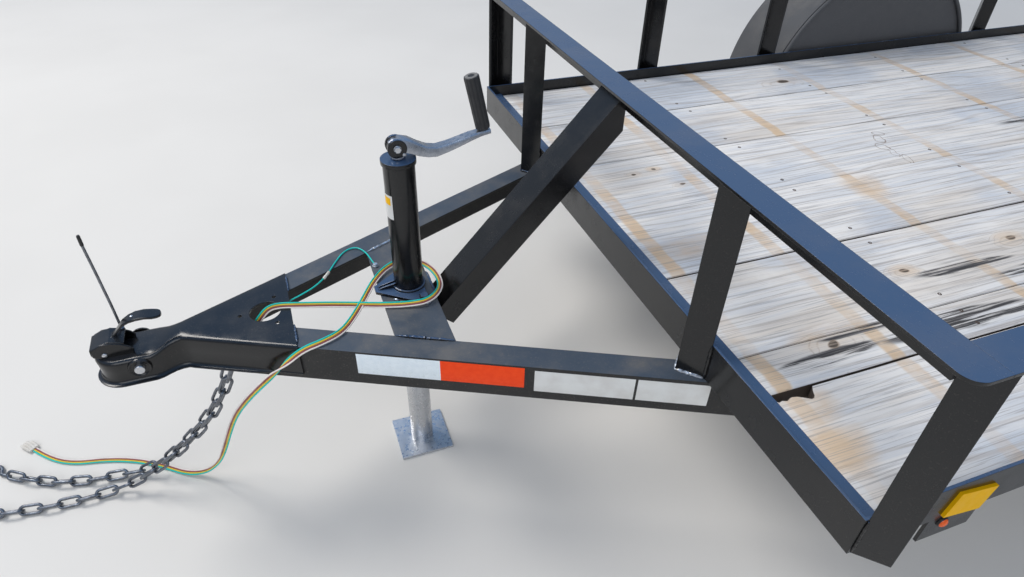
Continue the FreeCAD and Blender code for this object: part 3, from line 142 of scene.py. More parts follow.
def make_camera():
    data = bpy.data.cameras.new("camera")
    data.sensor_width = 36.0
    data.lens = 23.80
    data.clip_start = 0.05
    camera = add_object("camera", data)
    right = Vector((-0.9385505, 0.3443362, 0.0235714))
    down = Vector((0.1942375, 0.5834132, -0.7886068))
    forward = Vector((-0.2852977, -0.7355689, -0.6144458))
    turn = Matrix((right, -down, -forward)).transposed().to_4x4()
    camera.matrix_world = Matrix.Translation(at(612.2, 1068.6, 1283.7)) @ turn
    bpy.context.scene.camera = camera


# Materials

class Shader:
    """The nodes of a material or of the world, added with short calls."""

    def __init__(self, owner, main="Principled BSDF", place="Object"):
        owner.use_nodes = True
        self.owner = owner
        self.tree = owner.node_tree
        self.main = self.tree.nodes[main]
        self.where = self.add("ShaderNodeTexCoord").outputs[place]

    def add(self, kind, inputs=None, **values):
        node = self.tree.nodes.new(kind)
        for key, value in values.items():
            setattr(node, key, value)
        for key, value in (inputs or {}).items():
            self.feed(node.inputs[key], value)
        return node

    def feed(self, socket, value):
        """Links a socket to another, or gives it a value."""
        if isinstance(value, bpy.types.NodeSocket):
            self.tree.links.new(value, socket)
        elif value is not None:
            socket.default_value = value

    def set(self, **values):
        for key, value in values.items():
            self.feed(self.main.inputs[key.replace("_", " ")], value)

    def noise(self, scale, detail=4.0, rough=0.5, distortion=0.0, vector=None):
        return self.add("ShaderNodeTexNoise", {
            "Vector": vector or self.where, "Scale": scale, "Detail": detail, "Roughness": rough,
            "Distortion": distortion}).outputs["Fac"]

    def span(self, value, low, high, to_low=0.0, to_high=1.0):
        """Goes softly from to_low to to_high while the value goes from low to high."""
        return self.add("ShaderNodeMapRange", {
            "Value": value, "From Min": low, "From Max": high, "To Min": to_low,
            "To Max": to_high}, interpolation_type="SMOOTHSTEP").outputs["Result"]

    def math(self, operation, a, b=None):
        return self.add("ShaderNodeMath", {0: a, 1: b}, operation=operation).outputs[0]

    def mix(self, factor, a, b):
        a, b = (c if isinstance(c, bpy.types.NodeSocket) else (*c, 1.0) for c in (a, b))
        node = self.add("ShaderNodeMix", {"Factor": factor, "A": a, "B": b}, data_type="RGBA")
        return node.outputs["Result"]

    def part(self, socket, name):
        return self.add("ShaderNodeSeparateXYZ", {0: socket}).outputs[name]

    def upness(self):
        return self.part(self.add("ShaderNodeNewGeometry").outputs["Normal"], "Z")

    def rounded(self, radius):
        """A normal that rounds sharp edges, as of folded steel."""
        return self.add("ShaderNodeBevel", {"Radius": radius}, samples=6).outputs["Normal"]

    def bump(self, height, strength, distance=0.001, under=None):
        return self.add("ShaderNodeBump", {
            "Strength": strength, "Distance": distance, "Height": height,
            "Normal": under}).outputs["Normal"]


# How far paint rounds the edges of the steel under it, in metres
PAINT_EDGE = 0.0018


def paint(name, colour, rough, dust, dusty, shine, sky_reflection_tint=(0.0, 0.0, 0.0)):
    """Gloss paint with orange peel, dust lying on the upper faces, fine speckle, and a bluish tint on faces
    that look up which is a painted reflection of the sky.
    """
    s = Shader(bpy.data.materials.new(name))
    film = s.span(s.noise(9.0, 6.0, 0.62), 0.42, 0.72)
    speck = s.span(s.noise(420.0, 2.0, 0.6), 0.62, 0.70)
    up = s.span(s.upness(), 0.1, 0.95, 0.08, 1.0)
    lying = s.math("MULTIPLY", s.math("MULTIPLY", film, up), dusty)
    lying = s.math("ADD", lying, s.math("MULTIPLY", speck, 0.9 * dusty))
    # Faces that look up get a tint added to the colour: a painted reflection of blue sky.
    facing = s.span(s.upness(), 0.7, 0.98)
    with_painted_reflection = s.mix(facing, colour, tuple(c + d for c, d in zip(colour, sky_reflection_tint)))
    s.set(Base_Color=s.mix(lying, with_painted_reflection, dust), Specular_IOR_Level=shine)
    s.set(Roughness=s.math("ADD", s.span(s.noise(26.0, 3.0), 0.3, 0.7, rough, rough + 0.12),
                           s.math("MULTIPLY", lying, 0.5)))
    s.set(Normal=s.bump(s.noise(95.0, 2.0), 0.10, 0.0006, s.rounded(PAINT_EDGE)))
    return s.owner


def metal(name, colour, rough, tint, scale, stain, edge=0.0):
    """Plated or bare metal with clouds of stain and fine scratches."""
    s = Shader(bpy.data.materials.new(name))
    cloud = s.span(s.noise(scale, 5.0, 0.6), 0.35, 0.75, 0.0, stain)
    s.set(Base_Color=s.mix(cloud, colour, tint), Metallic=0.9)
    s.set(Roughness=s.span(s.noise(scale * 2.3, 4.0), 0.3, 0.7, rough, rough + 0.22))
    s.set(Normal=s.bump(s.noise(scale * 7, 3.0), 0.05, 0.0003, s.rounded(edge) if edge else None))
    return s.owner


def plastic(name, colour, rough, tint=None, scale=40.0, shine=0.5):
    """Plastic with soft clouds of a second colour and a fine grain."""
    s = Shader(bpy.data.materials.new(name))
    cloud = s.span(s.noise(scale, 4.0), 0.3, 0.75)
    s.set(Base_Color=s.mix(cloud, colour, tint or tuple(0.8 * c for c in colour)))
    s.set(Roughness=s.span(s.noise(scale * 2, 3.0), 0.3, 0.7, rough, rough + 0.15))
    s.set(Normal=s.bump(s.noise(scale * 12, 2.0), 0.08, 0.0003), Specular_IOR_Level=shine)
    return s.owner


# Marks on the deck as (x, y, half length, half width)
KNOTS = ((-512, 327, 15, 9), (-827, 303, 18, 10), (-267, -122, 11, 7), (-184, -195, 8, 6),
         (-240, -207, 8, 6), (-935, -600, 30, 15), (-1290, 90, 20, 12), (-1730, -340, 22, 14),
         (-2080, 620, 20, 14), (-1580, 400, 18, 12), (-2240, -90, 18, 12), (-228, 455, 20, 13))
DARK_BANDS = ((-200, 478, 130, 18), (-500, 476, 220, 30), (-640, 352, 150, 16), (-790, 395, 130, 15),
              (-300, 440, 120, 12), (-1650, -150, 380, 30), (-1120, 560, 240, 22))
SCARS = ((-940, -200, 18, 14), (-918, -172, 16, 26), (-892, -132, 18, 22), (-893, -95, 10, 24),
         (-907, -58, 10, 26))
TAN_PATCHES = ((-75, 640, 80, 60), (-95, 560, 60, 50), (-250, 440, 110, 56), (-690, 20, 70, 90),
               (-1450, 380, 180, 60), (-1900, -420, 240, 54), (-160, 120, 140, 50))
STRIPE_X = (-75, -312, -681, -1025, -1419, -1790, -2150)
STRIPE_HALF = 14


def wood():
    """Weathered pine: growth rings that flow round knots, tan streaks, stains and cross stripes, with the
    sides of the boards dark brown as painted shade.
    """
    s = Shader(bpy.data.materials.new("weathered_wood"))
    board = s.add("ShaderNodeAttribute", attribute_name="board").outputs["Fac"]
    shift = s.add("ShaderNodeCombineXYZ", {"Z": board}).outputs[0]
    spot = s.add("ShaderNodeVectorMath", {0: s.where, 1: shift}, operation="ADD").outputs[0]

    def along(x, y):
        return s.add("ShaderNodeMapping", {"Vector": spot, "Scale": (x, y, 1.0)}).outputs["Vector"]

    def product(a, b):
        return s.math("MULTIPLY", a, b)

    def marks(places, grow=1.0):
        """1 at each place, falling to 0 at the edge of an ellipse round it."""
        found = None
        for x, y, half_x, half_y in places:
            away = []
            for axis, middle, half in (("X", at(x, y, 0).x, half_x), ("Y", at(x, y, 0).y, half_y)):
                off = s.math("SUBTRACT", s.part(loose, axis), middle)
                away.append(s.math("POWER", s.math("DIVIDE", off, half * grow / 1000), 2.0))
            mark = s.span(s.math("ADD", *away), 0.0, 1.0, 1.0, 0.0)
            found = s.math("MAXIMUM", found, mark) if found else mark
        return found

    blur = s.add("ShaderNodeTexNoise", {"Vector": along(9.0, 22.0), "Scale": 1.0, "Detail": 3.0})
    offset = s.add("ShaderNodeVectorMath", {
        0: blur.outputs["Color"], 1: (0.05, 0.022, 0.0), 2: (-0.025, -0.011, 0.0)},
        operation="MULTIPLY_ADD").outputs[0]
    loose = s.add("ShaderNodeVectorMath", {0: s.where, 1: offset}, operation="ADD").outputs[0]
    knots = marks(KNOTS)
    halo = marks(KNOTS, 3.2)
    bands = marks(DARK_BANDS)
    patches = marks(TAN_PATCHES)
    scars = marks(SCARS)
    stripes = None
    ragged = s.math("SUBTRACT", s.noise(1.0, 4.0, 0.6, 0.0, along(14.0, 26.0)), 0.5)
    place_x = s.math("ADD", s.part(s.where, "X"), product(ragged, 0.014))
    for x in STRIPE_X:
        off = s.math("ABSOLUTE", s.math("SUBTRACT", place_x, at(x, 0, 0).x))
        stripe = s.span(off, 0.0008 * STRIPE_HALF, 0.0014 * STRIPE_HALF, 1.0, 0.0)
        stripes = s.math("MAXIMUM", stripes, stripe) if stripes else stripe

    fine = s.noise(1.0, 6.0, 0.62, 0.3, along(6.0, 320.0))
    streak = s.noise(1.0, 5.0, 0.6, 0.6, along(2.2, 60.0))
    broad = s.noise(1.0, 3.0, 0.5, 0.8, along(1.1, 8.0))
    black = s.noise(1.0, 5.0, 0.65, 0.2, along(4.0, 150.0))
    cloud = s.noise(5.0, 5.0, 0.6, 0.0, spot)
    bluish = s.noise(3.0, 3.0, 0.5, 0.4, spot)
    flow = product(s.noise(1.0, 3.0, 0.5, 0.0, along(0.7, 4.0)), 10.0)
    flow = s.math("ADD", flow, product(s.part(s.where, "Y"), 38.0))
    flow = s.math("ADD", flow, product(halo, 2.2))
    rings = s.math("SINE", product(flow, math.tau))
    rings = product(s.span(rings, 0.6, 1.0), s.span(streak, 0.35, 0.65, 0.25, 1.0))
    warm = s.math("MAXIMUM", patches, product(halo, 0.6))
    scar_line = product(s.span(scars, 0.02, 0.12), s.span(scars, 0.15, 0.45, 1.0, 0.0))

    # Pale grey, and over it, one after another, what tints it
    colour = s.mix(s.span(streak, 0.34, 0.68), (0.90, 0.89, 0.88), (0.70, 0.73, 0.78))
    for share, tint in (
            (s.span(broad, 0.50, 0.70, 0.0, 0.5), (0.68, 0.60, 0.51)),
            (s.span(cloud, 0.52, 0.78, 0.0, 0.55), (0.95, 0.95, 0.95)),
            (s.span(bluish, 0.50, 0.68, 0.0, 0.55), (0.50, 0.58, 0.70)),
            (product(rings, 0.45), (0.40, 0.34, 0.29)),
            (product(warm, s.span(cloud, 0.35, 0.65, 0.15, 0.75)), (0.74, 0.53, 0.32)),
            (product(stripes, s.span(cloud, 0.32, 0.60, 0.8, 0.15)), (0.70, 0.50, 0.30)),
            (product(s.span(bands, 0.0, 0.5), s.span(black, 0.42, 0.54, 0.05, 1.0)),
             (0.055, 0.052, 0.052)),
            (s.span(fine, 0.50, 0.64, 0.0, 0.55), (0.30, 0.29, 0.30)),
            (s.span(knots, 0.15, 0.6, 0.0, 0.65), (0.38, 0.27, 0.18)),
            (product(scar_line, 0.8), (0.20, 0.13, 0.09)),
            (product(s.span(knots, 0.50, 0.80), s.span(black, 0.35, 0.55, 0.35, 1.0)),
             (0.09, 0.07, 0.055))):
        colour = s.mix(share, colour, tint)
    # Faces that don't look up, the sides of the boards, turn dark brown: painted shade in the gaps between
    # boards.
    flat = s.span(s.math("ABSOLUTE", s.upness()), 0.35, 0.8)
    s.set(Base_Color=s.mix(flat, (0.075, 0.055, 0.042), colour))
    s.set(Roughness=s.span(fine, 0.3, 0.7, 0.72, 0.9))
    s.set(Normal=s.bump(s.math("ADD", fine, product(rings, -0.35)), 0.5, 0.0014))
    return s.owner


def floor_material():
    """A pale floor that can be looked through from below."""
    s = Shader(bpy.data.materials.new("floor"))
    cloud = s.span(s.noise(1.2, 3.0), 0.3, 0.7)
    s.set(Base_Color=s.mix(cloud, (0.78, 0.775, 0.76), (0.75, 0.745, 0.73)), Roughness=0.9)
    under = s.add("ShaderNodeNewGeometry").outputs["Backfacing"]
    clear = s.add("ShaderNodeBsdfTransparent").outputs[0]
    both = s.add("ShaderNodeMixShader", {0: under, 1: s.main.outputs[0], 2: clear})
    s.feed(s.tree.nodes["Material Output"].inputs["Surface"], both.outputs[0])
    return s.owner


BLACK = (0.0045, 0.0047, 0.0055)
DUST = (0.26, 0.23, 0.19)

# name, colour, roughness, colour of dust, how dusty, shine, painted reflection of blue sky added to faces
# that look up
PAINTS = (
    ("black_paint", BLACK, 0.16, DUST, 0.10, 0.5, (0.040, 0.085, 0.180)),
    ("tongue_paint", BLACK, 0.34, DUST, 0.34, 0.5, (0.050, 0.068, 0.095)),
    ("coupler_paint", BLACK, 0.13, DUST, 0.09, 0.5, (0.006, 0.009, 0.014)),
    ("dusty_paint", (0.080, 0.083, 0.090), 0.42, (0.19, 0.185, 0.18), 0.6, 0.4),
    ("spring_steel", (0.05, 0.05, 0.052), 0.5, DUST, 0.5, 0.4),
    ("wheel_white", (0.74, 0.75, 0.74), 0.25, (0.42, 0.38, 0.32), 0.35, 0.5))

# name, colour, roughness, colour of stain, scale of stain, how stained, rounding of edges in metres
METALS = (
    ("zinc", (0.60, 0.61, 0.63), 0.24, (0.40, 0.40, 0.41), 60.0, 0.25, 0.0008),
    # The crank's zinc is darker than the zinc above: a painted reflection of dark ground in its sides.
    ("crank_zinc", (0.40, 0.42, 0.46), 0.18, (0.24, 0.25, 0.27), 60.0, 0.4, 0.0012),
    ("bare_weld", (0.62, 0.66, 0.72), 0.32, (0.20, 0.17, 0.14), 160.0, 0.8),
    ("chain_steel", (0.21, 0.225, 0.25), 0.26, (0.10, 0.10, 0.11), 90.0, 0.8))

# name, colour, roughness, second colour, scale of its clouds, shine
PLASTICS = (
    ("rusty_steel", (0.10, 0.06, 0.04), 0.7, (0.05, 0.04, 0.035)),
    ("grip_plastic", (0.022, 0.022, 0.024), 0.45),
    ("grip_end", (0.22, 0.22, 0.22), 0.6, (0.12, 0.12, 0.12)),
    ("black_plastic", (0.02, 0.02, 0.02), 0.35),
    ("white_plastic", (0.74, 0.73, 0.70), 0.4, (0.60, 0.57, 0.52)),
    ("paper", (0.78, 0.80, 0.80), 0.5, (0.68, 0.68, 0.67), 25.0),
    ("white_tape", (0.84, 0.93, 1.0), 0.25, (0.76, 0.86, 0.94), 90.0),
    ("red_tape", (1.0, 0.085, 0.018), 0.4, (0.95, 0.07, 0.015), 90.0, 0.12),
    ("wire", (0.10, 0.44, 0.42), 0.35),
    ("wire_teal", (0.0, 0.62, 0.58), 0.3, (0.0, 0.55, 0.50)),
    ("wire_yellow", (0.88, 0.64, 0.06), 0.3, (0.80, 0.56, 0.05)),
    ("wire_brown", (0.34, 0.10, 0.10), 0.3, (0.28, 0.07, 0.08)),
    ("wire_white", (0.88, 0.84, 0.82), 0.3, (0.78, 0.73, 0.70)),
    ("tyre", (0.028, 0.027, 0.027), 0.75, (0.055, 0.05, 0.045), 18.0),
    ("amber", (0.95, 0.13, 0.005), 0.12),
    ("yellow", (0.95, 0.52, 0.0), 0.4, (0.90, 0.49, 0.0), 40.0, 0.12),
    ("red", (0.45, 0.012, 0.01), 0.15))


def make_materials():
    made = {"deck_wood": wood()}
    for make, rows in ((paint, PAINTS), (metal, METALS), (plastic, PLASTICS)):
        for row in rows:
            made[row[0]] = make(*row)
    return made


# Making meshes, with every place in millimetres

def round_ring(middle, side, over, radius, sides):
    """Places on a circle that is spanned by two directions."""
    turns = [math.tau * step / sides for step in range(sides)]
    return [middle + radius * (math.cos(a) * side + math.sin(a) * over) for a in turns]


def sides_of(direction):
    """Two directions square to one another and to the given one."""
    ahead = direction.normalized()
    helper = UP if abs(ahead.z) < 0.9 else ALONG
    side = ahead.cross(helper).normalized()
    return side, side.cross(ahead)


def heading(path, number):
    """The direction of a path at one of its places."""
    return (path[min(number + 1, len(path) - 1)] - path[max(number - 1, 0)]).normalized()


class Build:
    """Collects the corners and faces of one piece."""

    def __init__(self):
        self.corners = []
        self.faces = []
        self.kinds = []

    def skin(self, rings, closed=True, capped=True, kind=0):
        """Faces between rings of as many places each, and over both ends."""
        rows = []
        for places in rings:
            start = len(self.corners)
            self.corners += [Vector(place) for place in places]
            rows.append(range(start, len(self.corners)))
        before = len(self.faces)
        for row, after in zip(rows, rows[1:]):
            for number in range(len(row) if closed else len(row) - 1):
                following = (number + 1) % len(row)
                self.faces.append((row[number], row[following], after[following], after[number]))
        if capped:
            self.faces += [tuple(reversed(rows[0])), tuple(rows[-1])]
        self.kinds += [kind] * (len(self.faces) - before)
        return self

    def turned(self, centre, direction, profile, sides, capped=True):
        """A turned form about an axis, from a profile of (distance along it, radius)."""
        centre = Vector(centre)
        ahead = Vector(direction).normalized()
        side, over = sides_of(ahead)
        return self.skin([round_ring(centre + ahead * along, side, over, max(radius, 0.01), sides)
                          for along, radius in profile], capped=capped)

    def tube(self, path, radius, sides, capped=True):
        """A tube along a path without twist; the radius is one value or one for each place."""
        path = [Vector(place) for place in path]
        radii = radius if isinstance(radius, list) else [radius] * len(path)
        over = sides_of(path[1] - path[0])[1]
        rings = []
        for number, place in enumerate(path):
            ahead = heading(path, number)
            over = (over - ahead * over.dot(ahead)).normalized()
            rings.append(round_ring(place, ahead.cross(over), over, radii[number], sides))
        return self.skin(rings, capped=capped)

    def hexagon(self, place, direction, across, height, washer):
        """A bolt head or nut with chamfered corners, on its washer."""
        ahead = Vector(direction).normalized()
        rim = washer * 0.94
        self.turned(place, ahead, ((0, rim), (0.3, washer), (1.6, washer), (1.9, rim)), 24)
        corner = across / math.sqrt(3)
        profile = ((0, corner), (height * 0.82, corner), (height, corner * 0.86))
        return self.turned(Vector(place) + ahead * 1.9, ahead, profile, 6)

    def plate(self, outline, push, edge):
        """A plate from a flat outline, pushed through its thickness, its edges broken by a slope."""
        outline = [Vector(place) for place in outline]
        middle = sum(outline, Vector()) / len(outline)
        push = Vector(push)
        share = edge / push.length
        small = [place + (middle - place).normalized() * edge for place in outline]
        self.skin([small, [p + push * share for p in outline],
                   [p + push * (1 - share) for p in outline], [p + push for p in small]])

    def bead(self, start, end, radius, seed):
        """A weld bead with the ripples that the welder's steps leave."""
        random.seed(seed)
        start, end = Vector(start), Vector(end)
        steps = max(4, int((end - start).length / (radius * 0.7)))
        path = []
        radii = []
        for number in range(steps + 1):
            share = number / steps
            path.append(start.lerp(end, share) + Vector([random.uniform(-0.3, 0.3) for _ in range(3)]))
            tail = min(1.0, 0.35 + 4 * min(share, 1 - share))
            radii.append(radius * tail * (1 + random.uniform(-BEAD_LUMPS, BEAD_LUMPS)))
        self.tube(path, radii, 8)

    def mesh(self, name):
        mesh = bpy.data.meshes.new(name)
        mesh.from_pydata([at(*corner) for corner in self.corners], [], self.faces)
        bm = bmesh.new()
        bm.from_mesh(mesh)
        bmesh.ops.remove_doubles(bm, verts=bm.verts, dist=1e-6)
        bmesh.ops.recalc_face_normals(bm, faces=bm.faces)
        bm.to_mesh(mesh)
        bm.free()
        for kind, face in zip(self.kinds, mesh.polygons):
            face.material_index = kind
        return mesh

    def piece(self, name, look, body="trailer", slot=None, replaces=(), smooth=40):
        """The object, with edges sharper than the angle smooth left sharp."""
        mesh = self.mesh(name)
        names = (look,) if isinstance(look, str) else look
        for one in names:
            mesh.materials.append(looks[one])
        mesh.shade_smooth()
        mesh.set_sharp_from_angle(angle=math.radians(smooth))
        obj = add_object(name, mesh)
        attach(obj, body)
        if replaces:
            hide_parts(*replaces)
        return obj


# Wiring

def smooth_line(name, route):
    """The NURBS spline that has the route as its control points, in metres and in millimetres."""
    curve = bpy.data.curves.new(name, "CURVE")
    curve.dimensions = "3D"
    curve.resolution_u = 8
    spline = curve.splines.new("NURBS")
    spline.points.add(len(route) - 1)
    for control, place in zip(spline.points, route):
        control.co = (*at(*place), 1.0)
    spline.order_u = 3
    spline.use_endpoint_u = True
    holder = bpy.data.objects.new(name, curve)
    mesh = bpy.data.meshes.new_from_object(holder)
    path = [vertex.co.copy() for vertex in mesh.vertices]
    bpy.data.objects.remove(holder)
    bpy.data.meshes.remove(mesh)
    return path, [Vector((p.x * 1000 + ORIGIN_X, p.y * 1000, p.z * 1000)) for p in path]


def ribbon_turn(share):
    """How far the flat cable lies turned about its own length, by the share of its length."""
    turns = ((0, -56), (0.08, -51), (0.13, -51), (0.19, -51), (0.25, -47), (0.29, 0), (0.335, 41),
             (0.385, -129), (0.43, -149), (0.48, -150), (0.53, -134), (0.585, -128), (0.635, -291),
             (0.68, -265), (0.74, -238), (0.8, -336), (0.87, -349), (0.94, -346), (1, -354))
    return math.radians(between(turns, share, soft))


def make_harness():
    """Four wires side by side as one flat cable, with its connector."""
    path, places = smooth_line("harness_line", CABLE_ROUTE)
    build = Build()
    lanes = [[] for _ in range(4)]
    over = UP
    for number, place in enumerate(places):
        ahead = heading(places, number)
        over = (over - ahead * over.dot(ahead)).normalized()
        upright = UP - ahead * UP.dot(ahead)
        if upright.length > 0.25:
            over = over.lerp(upright.normalized(), 0.3).normalized()
        side = ahead.cross(over)
        turn = ribbon_turn(number / (len(places) - 1))
        flat = math.cos(turn) * side + math.sin(turn) * over
        for lane, rings in enumerate(lanes):
            middle = place + flat * WIRE_RADIUS * (2 * lane - 3)
            rings.append(round_ring(middle, flat, ahead.cross(flat), WIRE_RADIUS * 1.02, 8))
    for lane, rings in enumerate(lanes):
        build.skin(rings, kind=lane)
    harness = build.piece("harness", ("wire_teal", "wire_yellow", "wire_brown", "wire_white"),
                          slot="wire", replaces=("harness_cable",))
    connector = make_connector(places[-1], places[-1] - places[-2])


def make_connector(place, direction):
    """A flat four-way plug: a joined row of round shells on a bridge."""
    ahead, side = level(direction)
    build = Build()
    middle = Vector((place.x, place.y, 6.2))
    starts = [middle + side * (lane - 1.5) * 6.0 for lane in range(4)]
    for lane, start in enumerate(starts):
        reach = 34 if lane else 24
        profile = ((0, 2.2), (1, 3.0), (9, 3.2), (10, 3.7), (reach - 1, 3.7), (reach, 3.2))
        build.turned(start, ahead, profile, 16)
    bridge = [middle + side * y + UP * z for y, z in
              ((-10, -2.2), (10, -2.2), (11, 0), (10, 2.2), (-10, 2.2), (-11, 0))]
    build.skin([[p + ahead * 1 for p in bridge], [p + ahead * 22 for p in bridge]])
    for start in starts[1:]:
        build.turned(start, ahead, ((33.0, 2.4), (34.0, 2.4), (34.0, 1.2), (30.0, 1.2)), 12, capped=False)
    return build.piece("harness_connector", "white_plastic", replaces=("harness_plug",))


def make_ground_wire():
    """A thin wire with a crimped splice, and its screw."""
    path, places = smooth_line("ground_line", GROUND_WIRE_ROUTE)
    lead = Build().tube(places, GROUND_WIRE_WIDTH / 2, 10)
    wire = lead.piece("ground_lead", "wire_teal", slot="wire", replaces=("ground_wire",))
    middle = len(places) * 3 // 8
    ahead = (places[middle + 1] - places[middle]).normalized()
    crimps = ((0, 1.8), (2, 3.0), (9, 3.0), (12, 2.4), (15, 3.0), (22, 3.0), (24, 1.8))
    splice = Build().turned(places[middle] - ahead * 12, ahead, crimps, 14)
    joint = splice.piece("ground_splice", "white_plastic")
    screw = Build().hexagon(GROUND_SCREW, UP, 9.5, 4.0, 6.0)
    screw.piece("ground_screw_head", "zinc", replaces=("ground_screw",))


# Safety chains

def link_rings(start, end, roll):
    """One link: a round wire bent to a long loop with straight sides."""
    start, end = Vector(start), Vector(end)
    middle = (start + end) / 2
    rolled = Matrix.Rotation(math.radians(roll), 3, "X").to_quaternion()
    turn = ALONG.rotation_difference(end - start) @ rolled
    bend = (CHAIN_WIDTH - CHAIN_WIRE) / 2
    straight = CHAIN_PITCH / 2 + CHAIN_WIRE / 2 - bend
    path = []
    for end_side in SIDES:
        for step in range(9):
            a = math.radians(-90 + 22.5 * step)
            path.append(end_side * Vector((straight + bend * math.cos(a), bend * math.sin(a), 0)))
    rings = []
    for number, place in enumerate(path):
        ahead = (path[(number + 1) % len(path)] - path[number - 1]).normalized()
        side = Vector((ahead.y, -ahead.x, 0))
        rings.append([middle + turn @ p for p in round_ring(place, side, UP, CHAIN_WIRE / 2, 10)])
    return rings + rings[:1]


def joints_along(route):
    """Points one pitch apart along a route of straight runs."""
    joints = [route[0]]
    left = CHAIN_PITCH
    for start, end in zip(route, route[1:]):
        run = end - start
        done = left
        while done <= run.length:
            joints.append(start + run * (done / run.length))
            done += CHAIN_PITCH
        left = done - run.length
    return joints


def slip_hook(build, place, direction):
    """A slip hook lying flat: an eye, a shank and a round bow that is thickest at its back."""
    ahead, side = level(direction)
    middle = Vector((place.x, place.y, 4.9))
    path = [middle + ahead * along for along in (0, 8, 16, 22)]
    bow = 16.0
    centre = middle + ahead * 42
    for step in range(15):
        a = math.radians(200 + step * 17)
        path.append(centre + bow * (math.cos(a) * ahead + math.sin(a) * side))
    build.tube(path, [4.4, 4.4, 4.2, 4.2] + [4.6] * 12 + [4.0, 3.2, 2.0], 12)


def make_chains():
    """Two chains on a bolt through the tongue, each with its hook."""
    build = Build()
    for start, route in zip(CHAIN_STARTS, CHAIN_ROUTES):
        joints = joints_along([Vector(place) for place in (start,) + route])
        for number, (here, after) in enumerate(zip(joints, joints[1:])):
            twist = CHAIN_TWIST * min(1, number / CHAIN_TWIST_LINKS)
            build.skin(link_rings(here, after, 90 * (number + 1) + twist), capped=False)
        slip_hook(build, joints[-1], joints[-1] - joints[-2])
    inner = tongue_y(CHAIN_BOLT_X + CHAIN_BOLT_RADIUS) - PLATE_ACROSS
    bolt = ((0, CHAIN_BOLT_RADIUS), (2 * inner, CHAIN_BOLT_RADIUS))
    build.turned((CHAIN_BOLT_X, -inner, CHAIN_BOLT_Z), ACROSS, bolt, 16)
    build.piece("safety_chain_links", "chain_steel", replaces=("safety_chains",))


# Deck

BROKEN_BOARD_EDGE = 520
BOARD_EDGES = (-757.2, -515, -274, -39, 196, 431, BROKEN_BOARD_EDGE, 757.2)
TIGHT_SEAMS = (-274, -39, 431)
HALF_SEAM = 2.0
HALF_TIGHT_SEAM = 0.5
DECK_BACK = -2432.6
DECK_FRONT = -5.8
# (x, how far the edge is broken away)
BROKEN_CORNER = ((-124, 0), (-117, 10), (-112, 22), (-105, 23), (-96, 17), (-86, 11), (-76, 9),
                 (-66, 14), (-58, 11), (-49, 13), (-42, 0))
BOARD_STEP = 15.0
BOARD_FINE_STEP = 4.0
BOARD_FINE_REACH = 200.0
BOARD_LANES = 10
BOARD_ROUND = 1.6
# Screws across the deck, where the photograph shows them, and else near the edges of each board
SCREW_ROWS = (-520, -1003, -1397, -1850, -2378)
SCREWS_SEEN = {-1003: (159, 17, -76, -242, -305, -479, -549, -692),
               -1397: (150, 25, -70, -238, -312, -483, -560, -700)}
SCREW_PROFILE = ((0, 4.6), (1.6, 4.6), (2.2, 4.0), (2.3, 1.6), (1.2, 1.2))


def board_rings(number, low, high):
    """Outlines across one board, closer together at the front."""
    random.seed(number)
    fall = random.uniform(0.1, 0.5)
    fine = int(BOARD_FINE_REACH / BOARD_FINE_STEP)
    back = DECK_FRONT - BOARD_FINE_REACH
    coarse = int((back - DECK_BACK) / BOARD_STEP)
    places = [DECK_FRONT - BOARD_FINE_STEP * step for step in range(fine)]
    places += [back + (DECK_BACK - back) * step / coarse for step in range(coarse + 1)]

    def seam(edge, x, scale, row, layer):
        if edge in TIGHT_SEAMS:
            return HALF_TIGHT_SEAM
        return HALF_SEAM + 0.9 * noise.noise(Vector((x / scale, row, layer)))

    rings = []
    for x in places:
        y_low = low + seam(low, x, 160, number * 7.3, 0)
        if low == BROKEN_BOARD_EDGE:
            y_low += between(BROKEN_CORNER, x)
        y_low = max(y_low, 0.3 - INNER_HALF)
        y_high = min(high - seam(high, x, 190, number * 3.1, 5), INNER_HALF - 0.3)
        ring = [(x, y_low, BOARD_BOTTOM + 0.1), (x, y_low, DECK_TOP - 4.0)]
        for lane in range(BOARD_LANES + 1):
            share = lane / BOARD_LANES
            y = y_low + (y_high - y_low) * share
            cup = 1.1 * (2 * share - 1) ** 2 * fall
            rough = 0.25 * noise.noise(Vector((x / 60, y / 14, number)))
            inwards = {0: BOARD_ROUND, BOARD_LANES: -BOARD_ROUND}.get(lane, 0.0)
            ring.append((x, y + inwards, DECK_TOP - 0.25 - cup - abs(inwards) + rough))
        rings.append(ring + [(x, y_high, DECK_TOP - 4.0), (x, y_high, BOARD_BOTTOM + 0.1)])
    return rings


def make_deck():
    build = Build()
    marks = []
    for number, (low, high) in enumerate(zip(BOARD_EDGES, BOARD_EDGES[1:])):
        before = len(build.corners)
        build.skin(board_rings(number, low, high))
        marks += [number * 3.7] * (len(build.corners) - before)
    deck = build.piece("deck", "deck_wood", replaces=("deck_boards",), smooth=35)
    mark = deck.data.attributes.new("board", "FLOAT", "POINT")
    mark.data.foreach_set("value", marks)


def make_screws():
    build = Build()
    by_boards = [y for low, high in zip(BOARD_EDGES, BOARD_EDGES[1:]) for y in (low + 30, high - 30)]
    for x in SCREW_ROWS:
        random.seed(-x)
        for y in SCREWS_SEEN.get(x, by_boards):
            place = (x + random.uniform(-6, 6), y + random.uniform(-5, 5), DECK_TOP - 2.4)
            build.turned(place, UP, SCREW_PROFILE, 14)
    build.piece("deck_screws", "rusty_steel", slot="zinc")


# Coupler and latch

COUPLER_BACK = 647.0
COUPLER_TOP = 458.6
COUPLER_LOW = 389.8
NOSE_TOP = 442.6
BALL_X = 946.0
NOSE_START = 905
NOSE_RADIUS = 42.0
NOSE_SIDE = 41.6
WAIST_HALF = 26.0
SLOPE_END = 838
LIP = 7.5
SHELL_SMOOTH = 50
